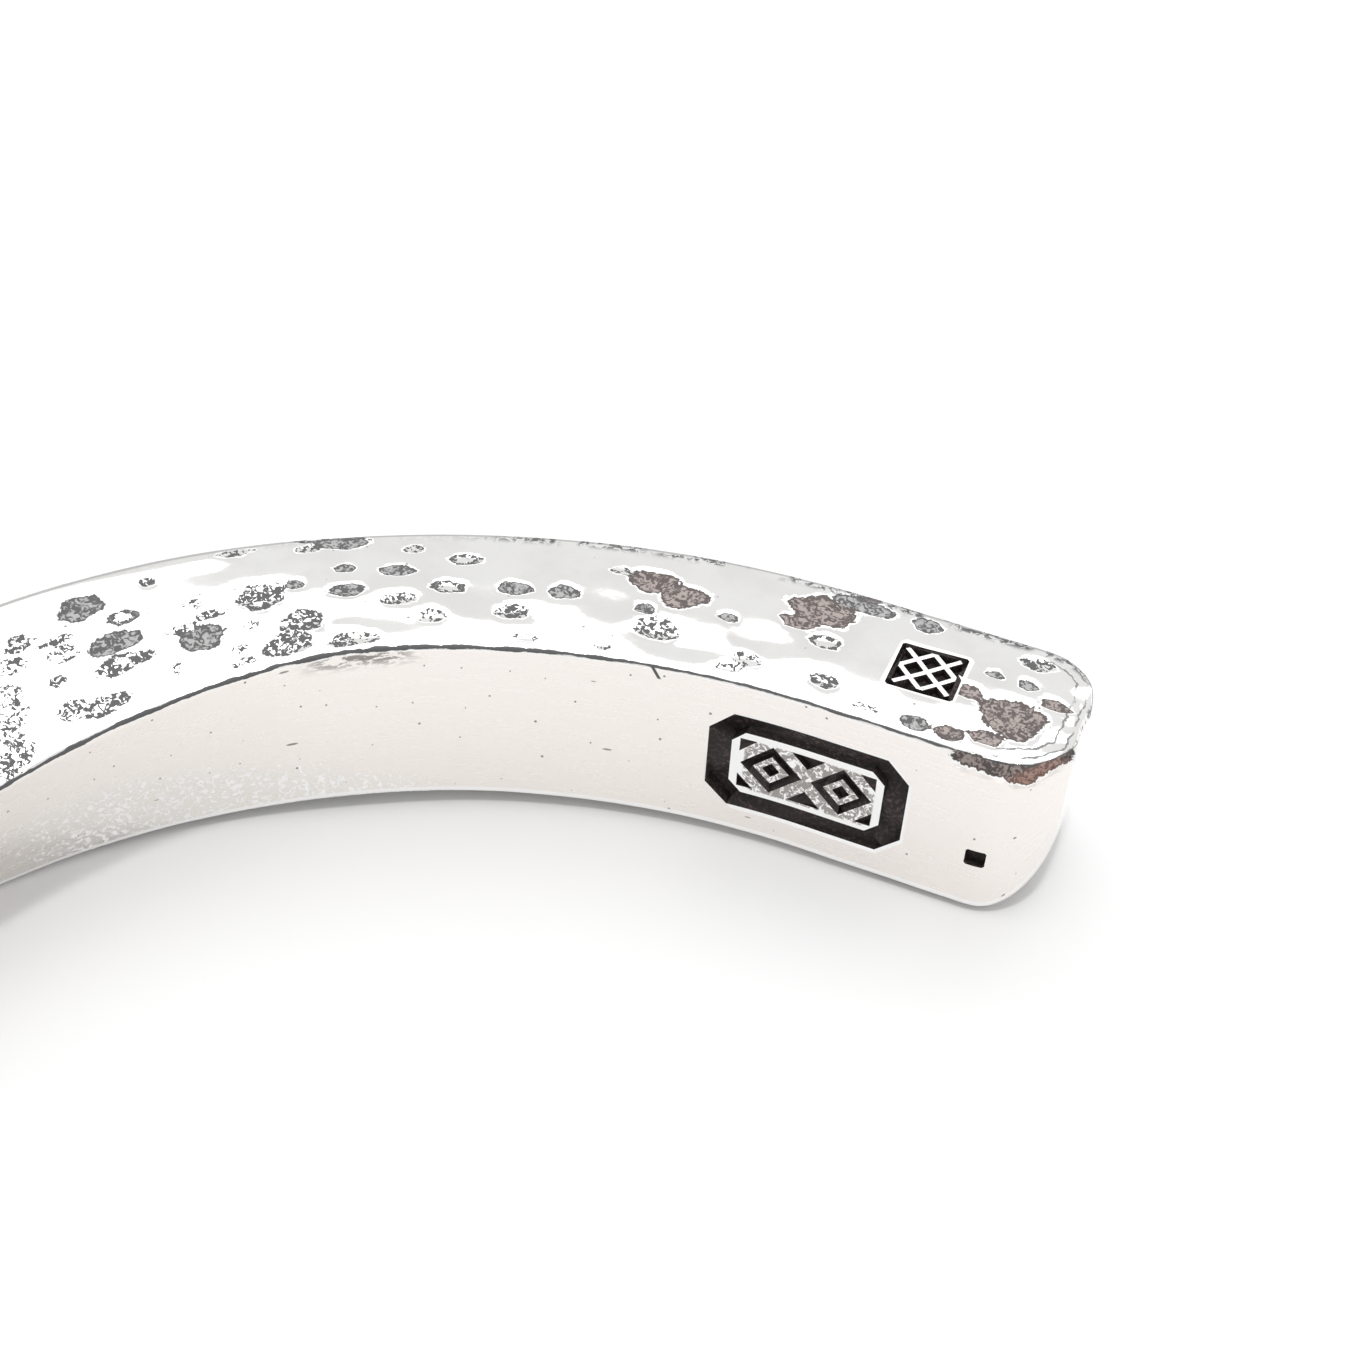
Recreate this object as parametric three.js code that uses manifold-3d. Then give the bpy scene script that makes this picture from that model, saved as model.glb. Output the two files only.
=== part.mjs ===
// A twisted cuff bangle: one nearly square silver bar, bent to an open oval and given half a turn.
// Both ends stay plain. The face on the inside at the marked end is smooth, and the other three are hammered.
// Millimetres, +Z up. It lies on its side as it rests by itself: opening toward -Y, marked end at +X.
import * as THREE from "three";
import { mergeVertices } from "three/addons/utils/BufferGeometryUtils.js";
import Module from "manifold-3d";

// The bar's centreline, an oval with a gap
const OVAL_HALF_LENGTH = 31.8;
const OVAL_HALF_WIDTH = 27.0;
const TIP_ANGLE = 30; // degrees round the oval from the middle of the gap to a tip
const STRAIGHT_TIP = 7.0; // the last stretch of each end isn't bent

// The bar's section
const BAR_HEIGHT = 6.0;
const INNER_SIDE = 2.7; // from the centreline to the smooth side
const OUTER_SIDE = 3.0; // and to the one opposite
const EDGE_RADIUS = { ridge: 0.18, outerTop: 0.22, outerFoot: 0.45, innerFoot: 0.16 };
const EDGE_STEPS = 3;

// The twist
const PLAIN_END = 21.0;
const TWIST_EASE = 4.0; // the twist starts and ends softly over this length
const TURN = 180;

// How far the end face is rounded over toward each side
const TIP_ROUNDING = { top: 0.35, outer: 1.9, foot: 1.75, inner: 2.1 };
const TIP_DEPTHS = [0, 0.05, 0.15, 0.3, 0.5, 0.75, 1.1, 1.5, 2.1, 2.8];
const STATION_STEP = 1.4;

// Punched marks. Each is placed by its distance from the tip and its height or offset on its face.
const CARTOUCHE = { along: 7.35, height: -0.08, length: 6.2, width: 3.7, cut: 0.72, depth: 0.35 };
const FIELD = { length: 4.7, width: 2.4, cut: 0.4 };
const LOZENGE = { pitch: 2.2, halfLength: 0.98, halfWidth: 0.95, line: 0.28, heart: 0.34, depth: 0.25 };
const DART = { halfBase: 0.55, height: 0.55, margin: 0.22 };
const SEAL = { along: 4.85, offset: 0.1, side: 2.05, lean: 2, depth: 0.22, border: 0.16 };
const LATTICE = { bars: 3, bar: 0.15, pitch: 0.6 };
const PIT = { along: 1.95, height: -0.95, side: 0.65, cut: 0.06, depth: 0.35 };
const CHIP = { along: 0.55, height: 2.3, halfLength: 1.4, halfHeight: 0.6, depth: 0.95 };
const PUNCH_ABOVE = 0.6; // a cutter stands this far out of the face

// Resting: the twisted corners reach lower than the plain ends, so the gap side leans down
const REST_LEAN = 1.41;

const SILVER = new THREE.MeshStandardMaterial({ color: 0xe2dfda, roughness: 0.28, metalness: 1 });

const wasm = await Module();
wasm.setup();

const rad = THREE.MathUtils.degToRad;

/** The oval before its tips are straightened. */
class OvalLine extends THREE.Curve {
  getPoint(u, target = new THREE.Vector3()) {
    const angle = THREE.MathUtils.lerp(rad(TIP_ANGLE), rad(360 - TIP_ANGLE), u);
    const x = OVAL_HALF_LENGTH * Math.sin(angle);
    return target.set(x, -OVAL_HALF_WIDTH * Math.cos(angle), 0);
  }
}

const oval = new OvalLine();
oval.arcLengthDivisions = 2000;
const LENGTH = oval.getLength();

/** Centre and heading of the bar at a distance from the marked tip, with the tips straight. */
function centreAt(along) {
  const bent = THREE.MathUtils.clamp(along, STRAIGHT_TIP, LENGTH - STRAIGHT_TIP);
  const heading = oval.getTangentAt(bent / LENGTH);
  const centre = oval.getPointAt(bent / LENGTH).addScaledVector(heading, along - bent);
  return { centre, heading };
}

/** How far the section has turned, in radians: a steady rate with a soft start and end. */
function twistAt(along) {
  const span = LENGTH - 2 * PLAIN_END;
  const into = THREE.MathUtils.clamp(along - PLAIN_END, 0, span);
  const left = span - into;
  let turned = into - TWIST_EASE / 2;
  if (into < TWIST_EASE) turned = (into * into) / (2 * TWIST_EASE);
  if (left < TWIST_EASE) turned = span - TWIST_EASE - (left * left) / (2 * TWIST_EASE);
  return (rad(TURN) * turned) / (span - TWIST_EASE);
}

/** The section's own axes: `up` leaves the top hammered face, and `out` the face opposite the smooth one. */
function frameAt(along) {
  const { centre, heading } = centreAt(along);
  const outward = new THREE.Vector3(heading.y, -heading.x, 0);
  const vertical = new THREE.Vector3(0, 0, 1);
  const turn = twistAt(along);
  const up = vertical.clone().multiplyScalar(Math.cos(turn)).addScaledVector(outward, -Math.sin(turn));
  const out = outward.clone().multiplyScalar(Math.cos(turn)).addScaledVector(vertical, Math.sin(turn));
  return { centre, heading, up, out };
}

/** How far a side has drawn in at a depth behind the end face, rounded with a radius. */
function roundOver(depth, radius) {
  const short = Math.max(0, radius - depth);
  return radius - Math.sqrt(radius * radius - short * short);
}

/** The section's outline as [out, up] pairs, anticlockwise, with its sides drawn in near a tip. */
function sectionAt(depth) {
  const inset = {};
  for (const [side, radius] of Object.entries(TIP_ROUNDING)) inset[side] = roundOver(depth, radius);
  const right = OUTER_SIDE - inset.outer;
  const left = -INNER_SIDE + inset.inner;
  const top = BAR_HEIGHT / 2 - inset.top;
  const foot = -BAR_HEIGHT / 2 + inset.foot;
  const outerFoot = EDGE_RADIUS.outerFoot + Math.min(inset.outer, inset.foot) / 2;
  const outerTop = EDGE_RADIUS.outerTop + Math.min(inset.outer, inset.top) / 2;
  const ridge = EDGE_RADIUS.ridge + Math.min(inset.inner, inset.top) / 2;
  const innerFoot = EDGE_RADIUS.innerFoot + Math.min(inset.inner, inset.foot) / 2;
  const corners = [
    { x: right - outerFoot, y: foot + outerFoot, radius: outerFoot },
    { x: right - outerTop, y: top - outerTop, radius: outerTop },
    { x: left + ridge, y: top - ridge, radius: ridge },
    { x: left + innerFoot, y: foot + innerFoot, radius: innerFoot },
  ];
  const middles = [
    [right, (top + foot) / 2],
    [(left + right) / 2, top],
    [left, (top + foot) / 2],
    [(left + right) / 2, foot],
  ];
  const outline = [];
  corners.forEach((corner, side) => {
    for (let step = 0; step <= EDGE_STEPS; step++) {
      const angle = rad(90 * (side - 1 + step / EDGE_STEPS));
      const x = corner.x + corner.radius * Math.cos(angle);
      outline.push([x, corner.y + corner.radius * Math.sin(angle)]);
    }
    outline.push(middles[side]);
  });
  return outline;
}

/** Where the sections stand: close together at the rounded tips, evenly spaced between. */
function stations() {
  const first = TIP_DEPTHS.at(-1);
  const count = Math.round((LENGTH - 2 * first) / STATION_STEP);
  const between = [];
  for (let i = 1; i < count; i++) between.push(first + ((LENGTH - 2 * first) * i) / count);
  return [...TIP_DEPTHS, ...between, ...TIP_DEPTHS.map((depth) => LENGTH - depth).reverse()];
}

/** The bar as one closed surface: rings of section points, joined in order, with a fan over each end. */
function barGeometry() {
  const places = [];
  const faces = [];
  const along = stations();
  for (const place of along) {
    const { centre, up, out } = frameAt(place);
    for (const [x, y] of sectionAt(Math.min(place, LENGTH - place))) {
      places.push(...centre.clone().addScaledVector(out, x).addScaledVector(up, y));
    }
  }
  const around = places.length / 3 / along.length;
  for (let ring = 0; ring < along.length - 1; ring++) {
    for (let i = 0; i < around; i++) {
      const a = ring * around + i;
      const b = ring * around + ((i + 1) % around);
      faces.push(a, b + around, b, a, a + around, b + around);
    }
  }
  const last = (along.length - 1) * around;
  for (let i = 1; i < around - 1; i++) {
    faces.push(0, i, i + 1);
    faces.push(last, last + i + 1, last + i);
  }
  const geometry = new THREE.BufferGeometry();
  geometry.setAttribute("position", new THREE.Float32BufferAttribute(places, 3));
  geometry.setIndex(faces);
  return geometry;
}

/** A closed three.js geometry as a manifold-3d solid. */
function solidOf(geometry) {
  const bare = geometry.clone();
  bare.deleteAttribute("normal");
  bare.deleteAttribute("uv");
  const merged = mergeVertices(bare, 1e-5);
  const vertProperties = new Float32Array(merged.attributes.position.array);
  const triVerts = new Uint32Array(merged.index.array);
  return new wasm.Manifold(new wasm.Mesh({ numProp: 3, vertProperties, triVerts }));
}

/** A manifold-3d solid as a three.js geometry. */
function geometryOf(solid) {
  const mesh = solid.getMesh();
  const geometry = new THREE.BufferGeometry();
  geometry.setAttribute("position", new THREE.BufferAttribute(mesh.vertProperties, 3));
  geometry.setIndex(new THREE.BufferAttribute(mesh.triVerts, 1));
  const flat = geometry.toNonIndexed();
  flat.computeVertexNormals();
  return flat;
}

/** Stands a cutter on a face of the bar. Its own +Z leaves the face, +X runs toward the tip. */
function placeOnFace(geometry, face, along, across, lean = 0) {
  const { centre, heading, up, out } = frameAt(along);
  const onTop = face === "top";
  const normal = onTop ? up.clone() : out.clone().negate();
  const tipward = heading.clone().negate();
  const sideways = normal.clone().cross(tipward);
  const surface = onTop ? BAR_HEIGHT / 2 : INNER_SIDE;
  const offset = onTop ? out.clone().multiplyScalar(across) : up.clone().multiplyScalar(across);
  const origin = centre.clone().addScaledVector(normal, surface).add(offset);
  const matrix = new THREE.Matrix4().makeBasis(tipward, sideways, normal).setPosition(origin);
  return geometry.clone().rotateZ(rad(lean)).applyMatrix4(matrix);
}

/** A cutter with straight walls, reaching a depth below the face and a little above it. */
function punch(shape, depth) {
  const settings = { depth: depth + PUNCH_ABOVE, bevelEnabled: false };
  return new THREE.ExtrudeGeometry(shape, settings).translate(0, 0, -depth);
}

/** A shape from its corners. */
function polygon(corners, Kind = THREE.Shape) {
  return new Kind(corners.map(([x, y]) => new THREE.Vector2(x, y)));
}

/** The corners of a rectangle with its own corners cut off, centred on the origin. */
function cutRectangle(length, width, cut) {
  const x = length / 2;
  const y = width / 2;
  const right = [[x, cut - y], [x, y - cut], [x - cut, y], [cut - x, y]];
  return [...right, ...right.map(([px, py]) => [-px, -py])];
}

/** The corners of a lozenge with its points on the axes, moved along X. */
function lozenge(middle, halfLength, halfWidth) {
  return [[middle + halfLength, 0], [middle, halfWidth], [middle - halfLength, 0], [middle, -halfWidth]];
}

/** A flat shape with a hole through it. */
function ring(outer, inner) {
  const shape = polygon(outer);
  shape.holes.push(polygon(inner, THREE.Path));
  return shape;
}

/** The field's small triangles between the lozenges: whole ones in the middle and halves at the corners. */
function darts() {
  const top = FIELD.width / 2 - DART.margin;
  const end = FIELD.length / 2 - DART.margin;
  const triangles = [];
  for (const side of [1, -1]) {
    const foot = side * top;
    const point = side * (top - DART.height);
    triangles.push([[-DART.halfBase, foot], [DART.halfBase, foot], [0, point]]);
    for (const x of [end, -end]) {
      triangles.push([[x, foot], [x - Math.sign(x) * DART.halfBase, foot], [x, point]]);
    }
  }
  return triangles.map((corners) => polygon(corners));
}

/** The smooth face's mark: a sunk border round a raised field with two sunk lozenges. */
function cartoucheCutters() {
  const border = cutRectangle(CARTOUCHE.length, CARTOUCHE.width, CARTOUCHE.cut);
  const cutters = [punch(ring(border, cutRectangle(FIELD.length, FIELD.width, FIELD.cut)), CARTOUCHE.depth)];
  const slim = LOZENGE.line * Math.SQRT2;
  const sunk = darts();
  for (const middle of [-LOZENGE.pitch / 2, LOZENGE.pitch / 2]) {
    const outer = lozenge(middle, LOZENGE.halfLength, LOZENGE.halfWidth);
    const inner = lozenge(middle, LOZENGE.halfLength - slim, LOZENGE.halfWidth - slim);
    sunk.push(ring(outer, inner), polygon(lozenge(middle, LOZENGE.heart, LOZENGE.heart)));
  }
  cutters.push(...sunk.map((shape) => punch(shape, LOZENGE.depth)));
  return cutters.map((cutter) => solidOf(placeOnFace(cutter, "inner", CARTOUCHE.along, CARTOUCHE.height)));
}

/** The hammered face's mark: a small sunk square crossed by a raised diagonal lattice. */
function sealCutter() {
  const reach = 2 * SEAL.side;
  const inside = SEAL.side - 2 * SEAL.border;
  const window = solidOf(new THREE.BoxGeometry(inside, inside, reach));
  let cutter = solidOf(punch(polygon(cutRectangle(SEAL.side, SEAL.side, SEAL.border / 2)), SEAL.depth));
  for (const angle of [45, -45]) {
    for (let i = 0; i < LATTICE.bars; i++) {
      const bar = new THREE.BoxGeometry(reach, LATTICE.bar, reach);
      bar.translate(0, (i - (LATTICE.bars - 1) / 2) * LATTICE.pitch, 0).rotateZ(rad(angle));
      cutter = cutter.subtract(solidOf(bar).intersect(window));
    }
  }
  return solidOf(placeOnFace(geometryOf(cutter), "top", SEAL.along, SEAL.offset, SEAL.lean));
}

/** The small square pit near the tip of the smooth face. */
function pitCutter() {
  const square = punch(polygon(cutRectangle(PIT.side, PIT.side, PIT.cut)), PIT.depth);
  return solidOf(placeOnFace(square, "inner", PIT.along, PIT.height));
}

/** The chip under the hammered face's lip, at the corner of the tip. */
function chipCutter() {
  const hollow = new THREE.IcosahedronGeometry(1, 2);
  hollow.scale(CHIP.halfLength, CHIP.halfHeight, CHIP.depth);
  return solidOf(placeOnFace(hollow, "inner", CHIP.along, CHIP.height));
}

/** The bar with its marks punched in. */
function bangleMesh() {
  let solid = solidOf(barGeometry());
  for (const cutter of [...cartoucheCutters(), sealCutter(), pitCutter(), chipCutter()]) {
    solid = solid.subtract(cutter);
  }
  const mesh = new THREE.Mesh(geometryOf(solid), SILVER);
  mesh.name = "bangle";
  mesh.rotation.x = rad(REST_LEAN);
  return mesh;
}

// The origin is under the middle of the bangle's box, on the surface that it rests on.
const group = new THREE.Group();
group.add(bangleMesh());
const box = new THREE.Box3().setFromObject(group, true);
const middle = box.getCenter(new THREE.Vector3());
group.position.set(-middle.x, -middle.y, -box.min.z);

export default group;
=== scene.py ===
"""A twisted cuff bangle: one hammered silver bar, bent to an open oval and given half a turn.

The bar is made as a smith makes it. A straight blank is drawn, and its hammer work is laid on it. A Geometry
Nodes tree sinks the blows, twists the bar and bends it round the oval. The marks are punched last.
"""
import logging
import math
from dataclasses import dataclass, field
from enum import Enum

import bpy
import numpy as np
from mathutils import Euler, Matrix, Vector


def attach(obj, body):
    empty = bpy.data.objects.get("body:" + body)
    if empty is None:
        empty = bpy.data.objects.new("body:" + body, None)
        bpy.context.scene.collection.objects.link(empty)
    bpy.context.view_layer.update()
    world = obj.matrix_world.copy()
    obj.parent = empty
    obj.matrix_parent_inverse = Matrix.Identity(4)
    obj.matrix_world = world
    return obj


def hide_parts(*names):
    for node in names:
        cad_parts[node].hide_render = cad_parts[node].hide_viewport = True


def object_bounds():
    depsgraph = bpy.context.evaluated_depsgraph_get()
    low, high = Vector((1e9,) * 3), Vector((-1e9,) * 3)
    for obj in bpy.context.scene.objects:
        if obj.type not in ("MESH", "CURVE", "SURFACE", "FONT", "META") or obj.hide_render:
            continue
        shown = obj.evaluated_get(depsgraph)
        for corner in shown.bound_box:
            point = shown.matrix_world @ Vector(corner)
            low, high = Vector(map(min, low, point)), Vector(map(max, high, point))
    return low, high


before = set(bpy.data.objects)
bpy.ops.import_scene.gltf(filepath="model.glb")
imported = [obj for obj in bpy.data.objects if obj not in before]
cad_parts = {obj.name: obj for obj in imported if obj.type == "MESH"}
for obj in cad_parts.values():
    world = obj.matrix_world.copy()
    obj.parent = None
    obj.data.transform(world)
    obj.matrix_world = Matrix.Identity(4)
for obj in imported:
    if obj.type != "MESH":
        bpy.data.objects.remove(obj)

CAD_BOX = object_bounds()
MM = 0.001
PATH_STEPS = 4000  # points that the oval's length is measured over
PIT_REACH = 1.5  # how many radii from a pit's middle its field falls to 0
log = logging.getLogger("bangle")

Point = tuple[float, float]
Colour = tuple[float, float, float, float]


# ---------------------------------------------------------------- node trees


@dataclass(frozen=True)
class Fade:
    """A change from one result to another between two limits of a value. The result holds beyond them."""

    start: "float | Wire"
    end: "float | Wire"
    first: "float | Wire" = 0.0
    last: "float | Wire" = 1.0


@dataclass(frozen=True)
class Cloud:
    """Noise: how big its clouds are, how many finer layers they have, how strong these are, and how far they
    are drawn out into strokes."""

    size: "float | Wire"
    detail: float = 2.0
    roughness: float = 0.5
    warp: float = 0.0


class Wire:
    """A value that runs through a node tree. Arithmetic on it adds nodes to the tree."""

    def __init__(self, graph: "Graph", socket: bpy.types.NodeSocket) -> None:
        """Keeps the graph that the value runs through and the socket that it comes out of."""
        self.graph = graph
        self.socket = socket

    def __add__(self, other: "float | Wire") -> "Wire":
        """The sum."""
        return self.graph.math("ADD", self, other)

    def __sub__(self, other: "float | Wire") -> "Wire":
        """The difference."""
        return self.graph.math("SUBTRACT", self, other)

    def __rsub__(self, other: float) -> "Wire":
        """A number less the value."""
        return self.graph.math("SUBTRACT", other, self)

    def __mul__(self, other: "float | Wire") -> "Wire":
        """The product."""
        return self.graph.math("MULTIPLY", self, other)

    def __truediv__(self, other: "float | Wire") -> "Wire":
        """The quotient."""
        return self.graph.math("DIVIDE", self, other)

    def __rtruediv__(self, other: float) -> "Wire":
        """A number divided by the value."""
        return self.graph.math("DIVIDE", other, self)

    def __pow__(self, power: float) -> "Wire":
        """The value raised to a power."""
        return self.graph.math("POWER", self, power)

    def __neg__(self) -> "Wire":
        """The value with its sign turned."""
        return self * -1.0

    def __abs__(self) -> "Wire":
        """The value without its sign."""
        return self.graph.math("ABSOLUTE", self)

    def __or__(self, other: "float | Wire") -> "Wire":
        """The larger of two values: where either of two masks lies."""
        return self.graph.math("MAXIMUM", self, other)

    def __and__(self, other: "float | Wire") -> "Wire":
        """The smaller of two values."""
        return self.graph.math("MINIMUM", self, other)

    def above(self, limit: "float | Wire") -> "Wire":
        """1 where the value is above a limit, and 0 elsewhere."""
        return self.graph.math("GREATER_THAN", self, limit)

    def fade(self, fade: Fade, smooth: bool = True) -> "Wire":
        """Maps the value as a fade says.

        Args:
            fade: the limits and the results.
            smooth: whether it eases in and out.

        Returns:
            The mapped value.
        """
        inputs = {"Value": self, 1: fade.start, 2: fade.end, 3: fade.first, 4: fade.last}
        kind = "SMOOTHSTEP" if smooth else "LINEAR"
        return self.graph.wire("ShaderNodeMapRange", inputs, interpolation_type=kind)


class Graph:
    """Adds nodes to a node tree and joins them."""

    def __init__(self, tree: bpy.types.NodeTree) -> None:
        """Starts on a tree, which may hold nodes already."""
        self.tree = tree

    def node(self, kind: str, inputs: dict | None = None, **settings: object) -> bpy.types.Node:
        """Adds one node.

        Args:
            kind: the node's type name.
            inputs: what each input gets, by its name or number: a wire to join, or a plain value.
            settings: the node's own properties.

        Returns:
            The new node.
        """
        made = self.tree.nodes.new(kind)
        for name, value in settings.items():
            setattr(made, name, value)
        for key, value in (inputs or {}).items():
            self.feed(made.inputs[key], value)
        return made

    def feed(self, socket: bpy.types.NodeSocket, value: object) -> None:
        """Joins a wire to an input, or sets the input's own value.

        Args:
            socket: the input.
            value: a wire, or a plain value.
        """
        if isinstance(value, Wire):
            self.tree.links.new(value.socket, socket)
        else:
            socket.default_value = value

    def wire(self, kind: str, inputs: dict | None = None, output: int | str = 0, **settings: object) -> Wire:
        """Adds one node and takes one of its outputs."""
        return Wire(self, self.node(kind, inputs, **settings).outputs[output])

    def math(self, operation: str, *values: float | Wire, clamp: bool = False) -> Wire:
        """Adds one Math node, which may hold its result between 0 and 1."""
        return self.wire("ShaderNodeMath", dict(enumerate(values)), operation=operation, use_clamp=clamp)

    def vector(self, operation: str, *values: object) -> Wire:
        """Adds one Vector Math node. The last value of SCALE is a number."""
        keys = (0, "Scale") if operation == "SCALE" else range(len(values))
        return self.wire("ShaderNodeVectorMath", dict(zip(keys, values)), "Vector", operation=operation)

    def combine(self, x: float | Wire = 0.0, y: float | Wire = 0.0, z: float | Wire = 0.0) -> Wire:
        """A vector from three numbers."""
        return self.wire("ShaderNodeCombineXYZ", {0: x, 1: y, 2: z})

    def split(self, vector: Wire) -> list[Wire]:
        """A vector's three numbers."""
        return [Wire(self, output) for output in self.node("ShaderNodeSeparateXYZ", {0: vector}).outputs]

    def mix(self, share: Wire, first: float | Wire, second: float | Wire) -> Wire:
        """A mix of two numbers, with a share of the second."""
        return self.wire("ShaderNodeMix", {0: share, 2: first, 3: second}, data_type="FLOAT")

    def coat(self, colour: Colour | Wire, *coats: tuple[Wire, Colour | Wire]) -> Wire:
        """Lays colours over a first one.

        Args:
            colour: the first colour.
            coats: how much each further colour covers, and the colour.

        Returns:
            The resulting colour.
        """
        for share, coat in coats:
            colour = self.wire("ShaderNodeMix", {0: share, 6: colour, 7: coat}, 2, data_type="RGBA")
        return colour

    def noise(self, place: Wire, cloud: Cloud) -> Wire:
        """Cloudy noise from 0 to 1, at a place in metres."""
        layers = {"Detail": cloud.detail, "Roughness": cloud.roughness, "Distortion": cloud.warp}
        return self.wire("ShaderNodeTexNoise", {"Vector": place, "Scale": 1.0 / cloud.size, **layers})

    def sway(self, place: Wire, cloud: Cloud) -> Wire:
        """Cloudy noise from -0.5 to 0.5."""
        return self.noise(place, cloud) - 0.5

    def cells(self, place: Wire, size: float | Wire, feature: str = "F1", flat: bool = False) -> list[Wire]:
        """Scatters cells.

        Args:
            place: the coordinates, in metres.
            size: the distance between cells, in metres.
            feature: what is measured in each.
            flat: whether they lie in the plane of the first two coordinates.

        Returns:
            The distance from a cell's middle, as a share of the size, and the cell's three random numbers.
        """
        kinds = {"feature": feature, "voronoi_dimensions": "2D" if flat else "3D"}
        outputs = self.node("ShaderNodeTexVoronoi", {"Vector": place, "Scale": 1.0 / size}, **kinds).outputs
        return [Wire(self, outputs["Distance"]), *self.split(Wire(self, outputs["Color"]))]


def new_group(name: str, kind: str, inputs: dict, outputs: dict) -> tuple[Graph, dict[str, Wire]]:
    """Starts a node group.

    Args:
        name: the group's name.
        kind: the type of its tree.
        inputs: the type and default of each input, by name. A default of None leaves it unset.
        outputs: the type of each output, by name.

    Returns:
        The group's graph, and its inputs by name.
    """
    tree = bpy.data.node_groups.new(name, kind)
    for label, (type_, default) in inputs.items():
        socket = tree.interface.new_socket(label, in_out="INPUT", socket_type=f"NodeSocket{type_}")
        if default is not None:
            socket.default_value = default
    for label, type_ in outputs.items():
        tree.interface.new_socket(label, in_out="OUTPUT", socket_type=f"NodeSocket{type_}")
    g = Graph(tree)
    return g, {socket.name: Wire(g, socket) for socket in g.node("NodeGroupInput").outputs}


def add_object(name: str, data: bpy.types.ID) -> bpy.types.Object:
    """Puts a new object into the scene.

    Args:
        name: its name.
        data: its mesh, light or camera.

    Returns:
        The object.
    """
    made = bpy.data.objects.new(name, data)
    bpy.context.scene.collection.objects.link(made)
    return made


# ---------------------------------------------------------------- the bar's shape


@dataclass(frozen=True)
class CuffPath:
    """The oval that the bar follows, and how it twists on the way: lengths in metres, angles in radians."""

    half_length: float = 31.8 * MM
    half_width: float = 27.0 * MM
    tip_angle: float = math.radians(30)
    straight_tip: float = 7.0 * MM
    plain_end: float = 21.0 * MM
    twist_ease: float = 4.0 * MM
    turn: float = math.radians(180)
    lean: float = math.radians(1.41)

    def table(self) -> tuple[np.ndarray, np.ndarray]:
        """The oval as a fine row of points.

        Returns:
            The length along it at each point, and the points.
        """
        angle = np.linspace(self.tip_angle, 2 * math.pi - self.tip_angle, PATH_STEPS)
        points = np.stack([self.half_length * np.sin(angle), -self.half_width * np.cos(angle)], 1)
        strides = np.linalg.norm(np.diff(points, axis=0), axis=1)
        return np.concatenate([[0.0], np.cumsum(strides)]), points

    def length(self) -> float:
        """The bar's whole length."""
        return float(self.table()[0][-1])

    def twist(self, along: np.ndarray) -> np.ndarray:
        """How far the section has turned: a steady rate with a soft start and end.

        Args:
            along: distances from the marked tip.

        Returns:
            The angles.
        """
        span = self.length() - 2 * self.plain_end
        into = np.clip(along - self.plain_end, 0, span)
        start = np.minimum(into, self.twist_ease) ** 2 / (2 * self.twist_ease)
        end = np.maximum(into - span + self.twist_ease, 0) ** 2 / (2 * self.twist_ease)
        turned = start + np.maximum(into - self.twist_ease, 0) - end
        return self.turn * turned / (span - self.twist_ease)

    def frames(self, along: np.ndarray) -> tuple[np.ndarray, np.ndarray, np.ndarray, np.ndarray]:
        """The bar's centre, heading and own axes, before it leans.

        Args:
            along: distances from the marked tip.

        Returns:
            The centres, the headings, the axes out of the bar's outer side, and the axes out of its top.
        """
        lengths, points = self.table()
        bent = np.clip(along, self.straight_tip, self.length() - self.straight_tip)
        nudge = 0.01 * MM
        at = [np.interp(bent, lengths, points[:, axis]) for axis in (0, 1)]
        ahead = [np.interp(bent + nudge, lengths, points[:, axis]) for axis in (0, 1)]
        heading = np.stack([ahead[0] - at[0], ahead[1] - at[1], 0 * bent], 1)
        heading /= np.linalg.norm(heading, axis=1)[:, None]
        centre = np.stack([at[0], at[1], 0 * bent], 1) + heading * (along - bent)[:, None]
        outward = np.stack([heading[:, 1], -heading[:, 0], 0 * bent], 1)
        vertical = np.array([0.0, 0.0, 1.0])
        cosine, sine = (f(self.twist(along))[:, None] for f in (np.cos, np.sin))
        return centre, heading, cosine * outward + sine * vertical, cosine * vertical - sine * outward

    def leaned(self, points: np.ndarray) -> np.ndarray:
        """Points tipped as the bar leans."""
        return points @ np.array(Matrix.Rotation(self.lean, 3, "X")).T

    def stand(self, plain: np.ndarray) -> Vector:
        """How far the bent bar moves to stand where the CAD bar does.

        Args:
            plain: the points of a blank whose faces are flat.

        Returns:
            The move.
        """
        centre, _, out, up = self.frames(plain[:, 0])
        bent = self.leaned(centre + out * plain[:, 1:2] + up * plain[:, 2:3])
        low, high = bent.min(0), bent.max(0)
        cad_low, cad_high = (np.array(corner) for corner in CAD_BOX)
        move = (cad_low + cad_high - low - high) / 2
        move[2] = cad_low[2] - low[2]
        return Vector(move)


@dataclass(frozen=True)
class Face:
    """One long face: how far its tips are rounded, how many steps lie across it, and how hammered it is."""

    rounding: float
    steps: int
    hammered: float = 1.0


class Side(Enum):
    """The bar's four long faces, in their order round the section."""

    FOOT = Face(1.75 * MM, 20)
    SMOOTH = Face(2.1 * MM, 29, hammered=0.0)
    TOP = Face(0.35 * MM, 31)
    OUTER = Face(1.9 * MM, 25)


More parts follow.
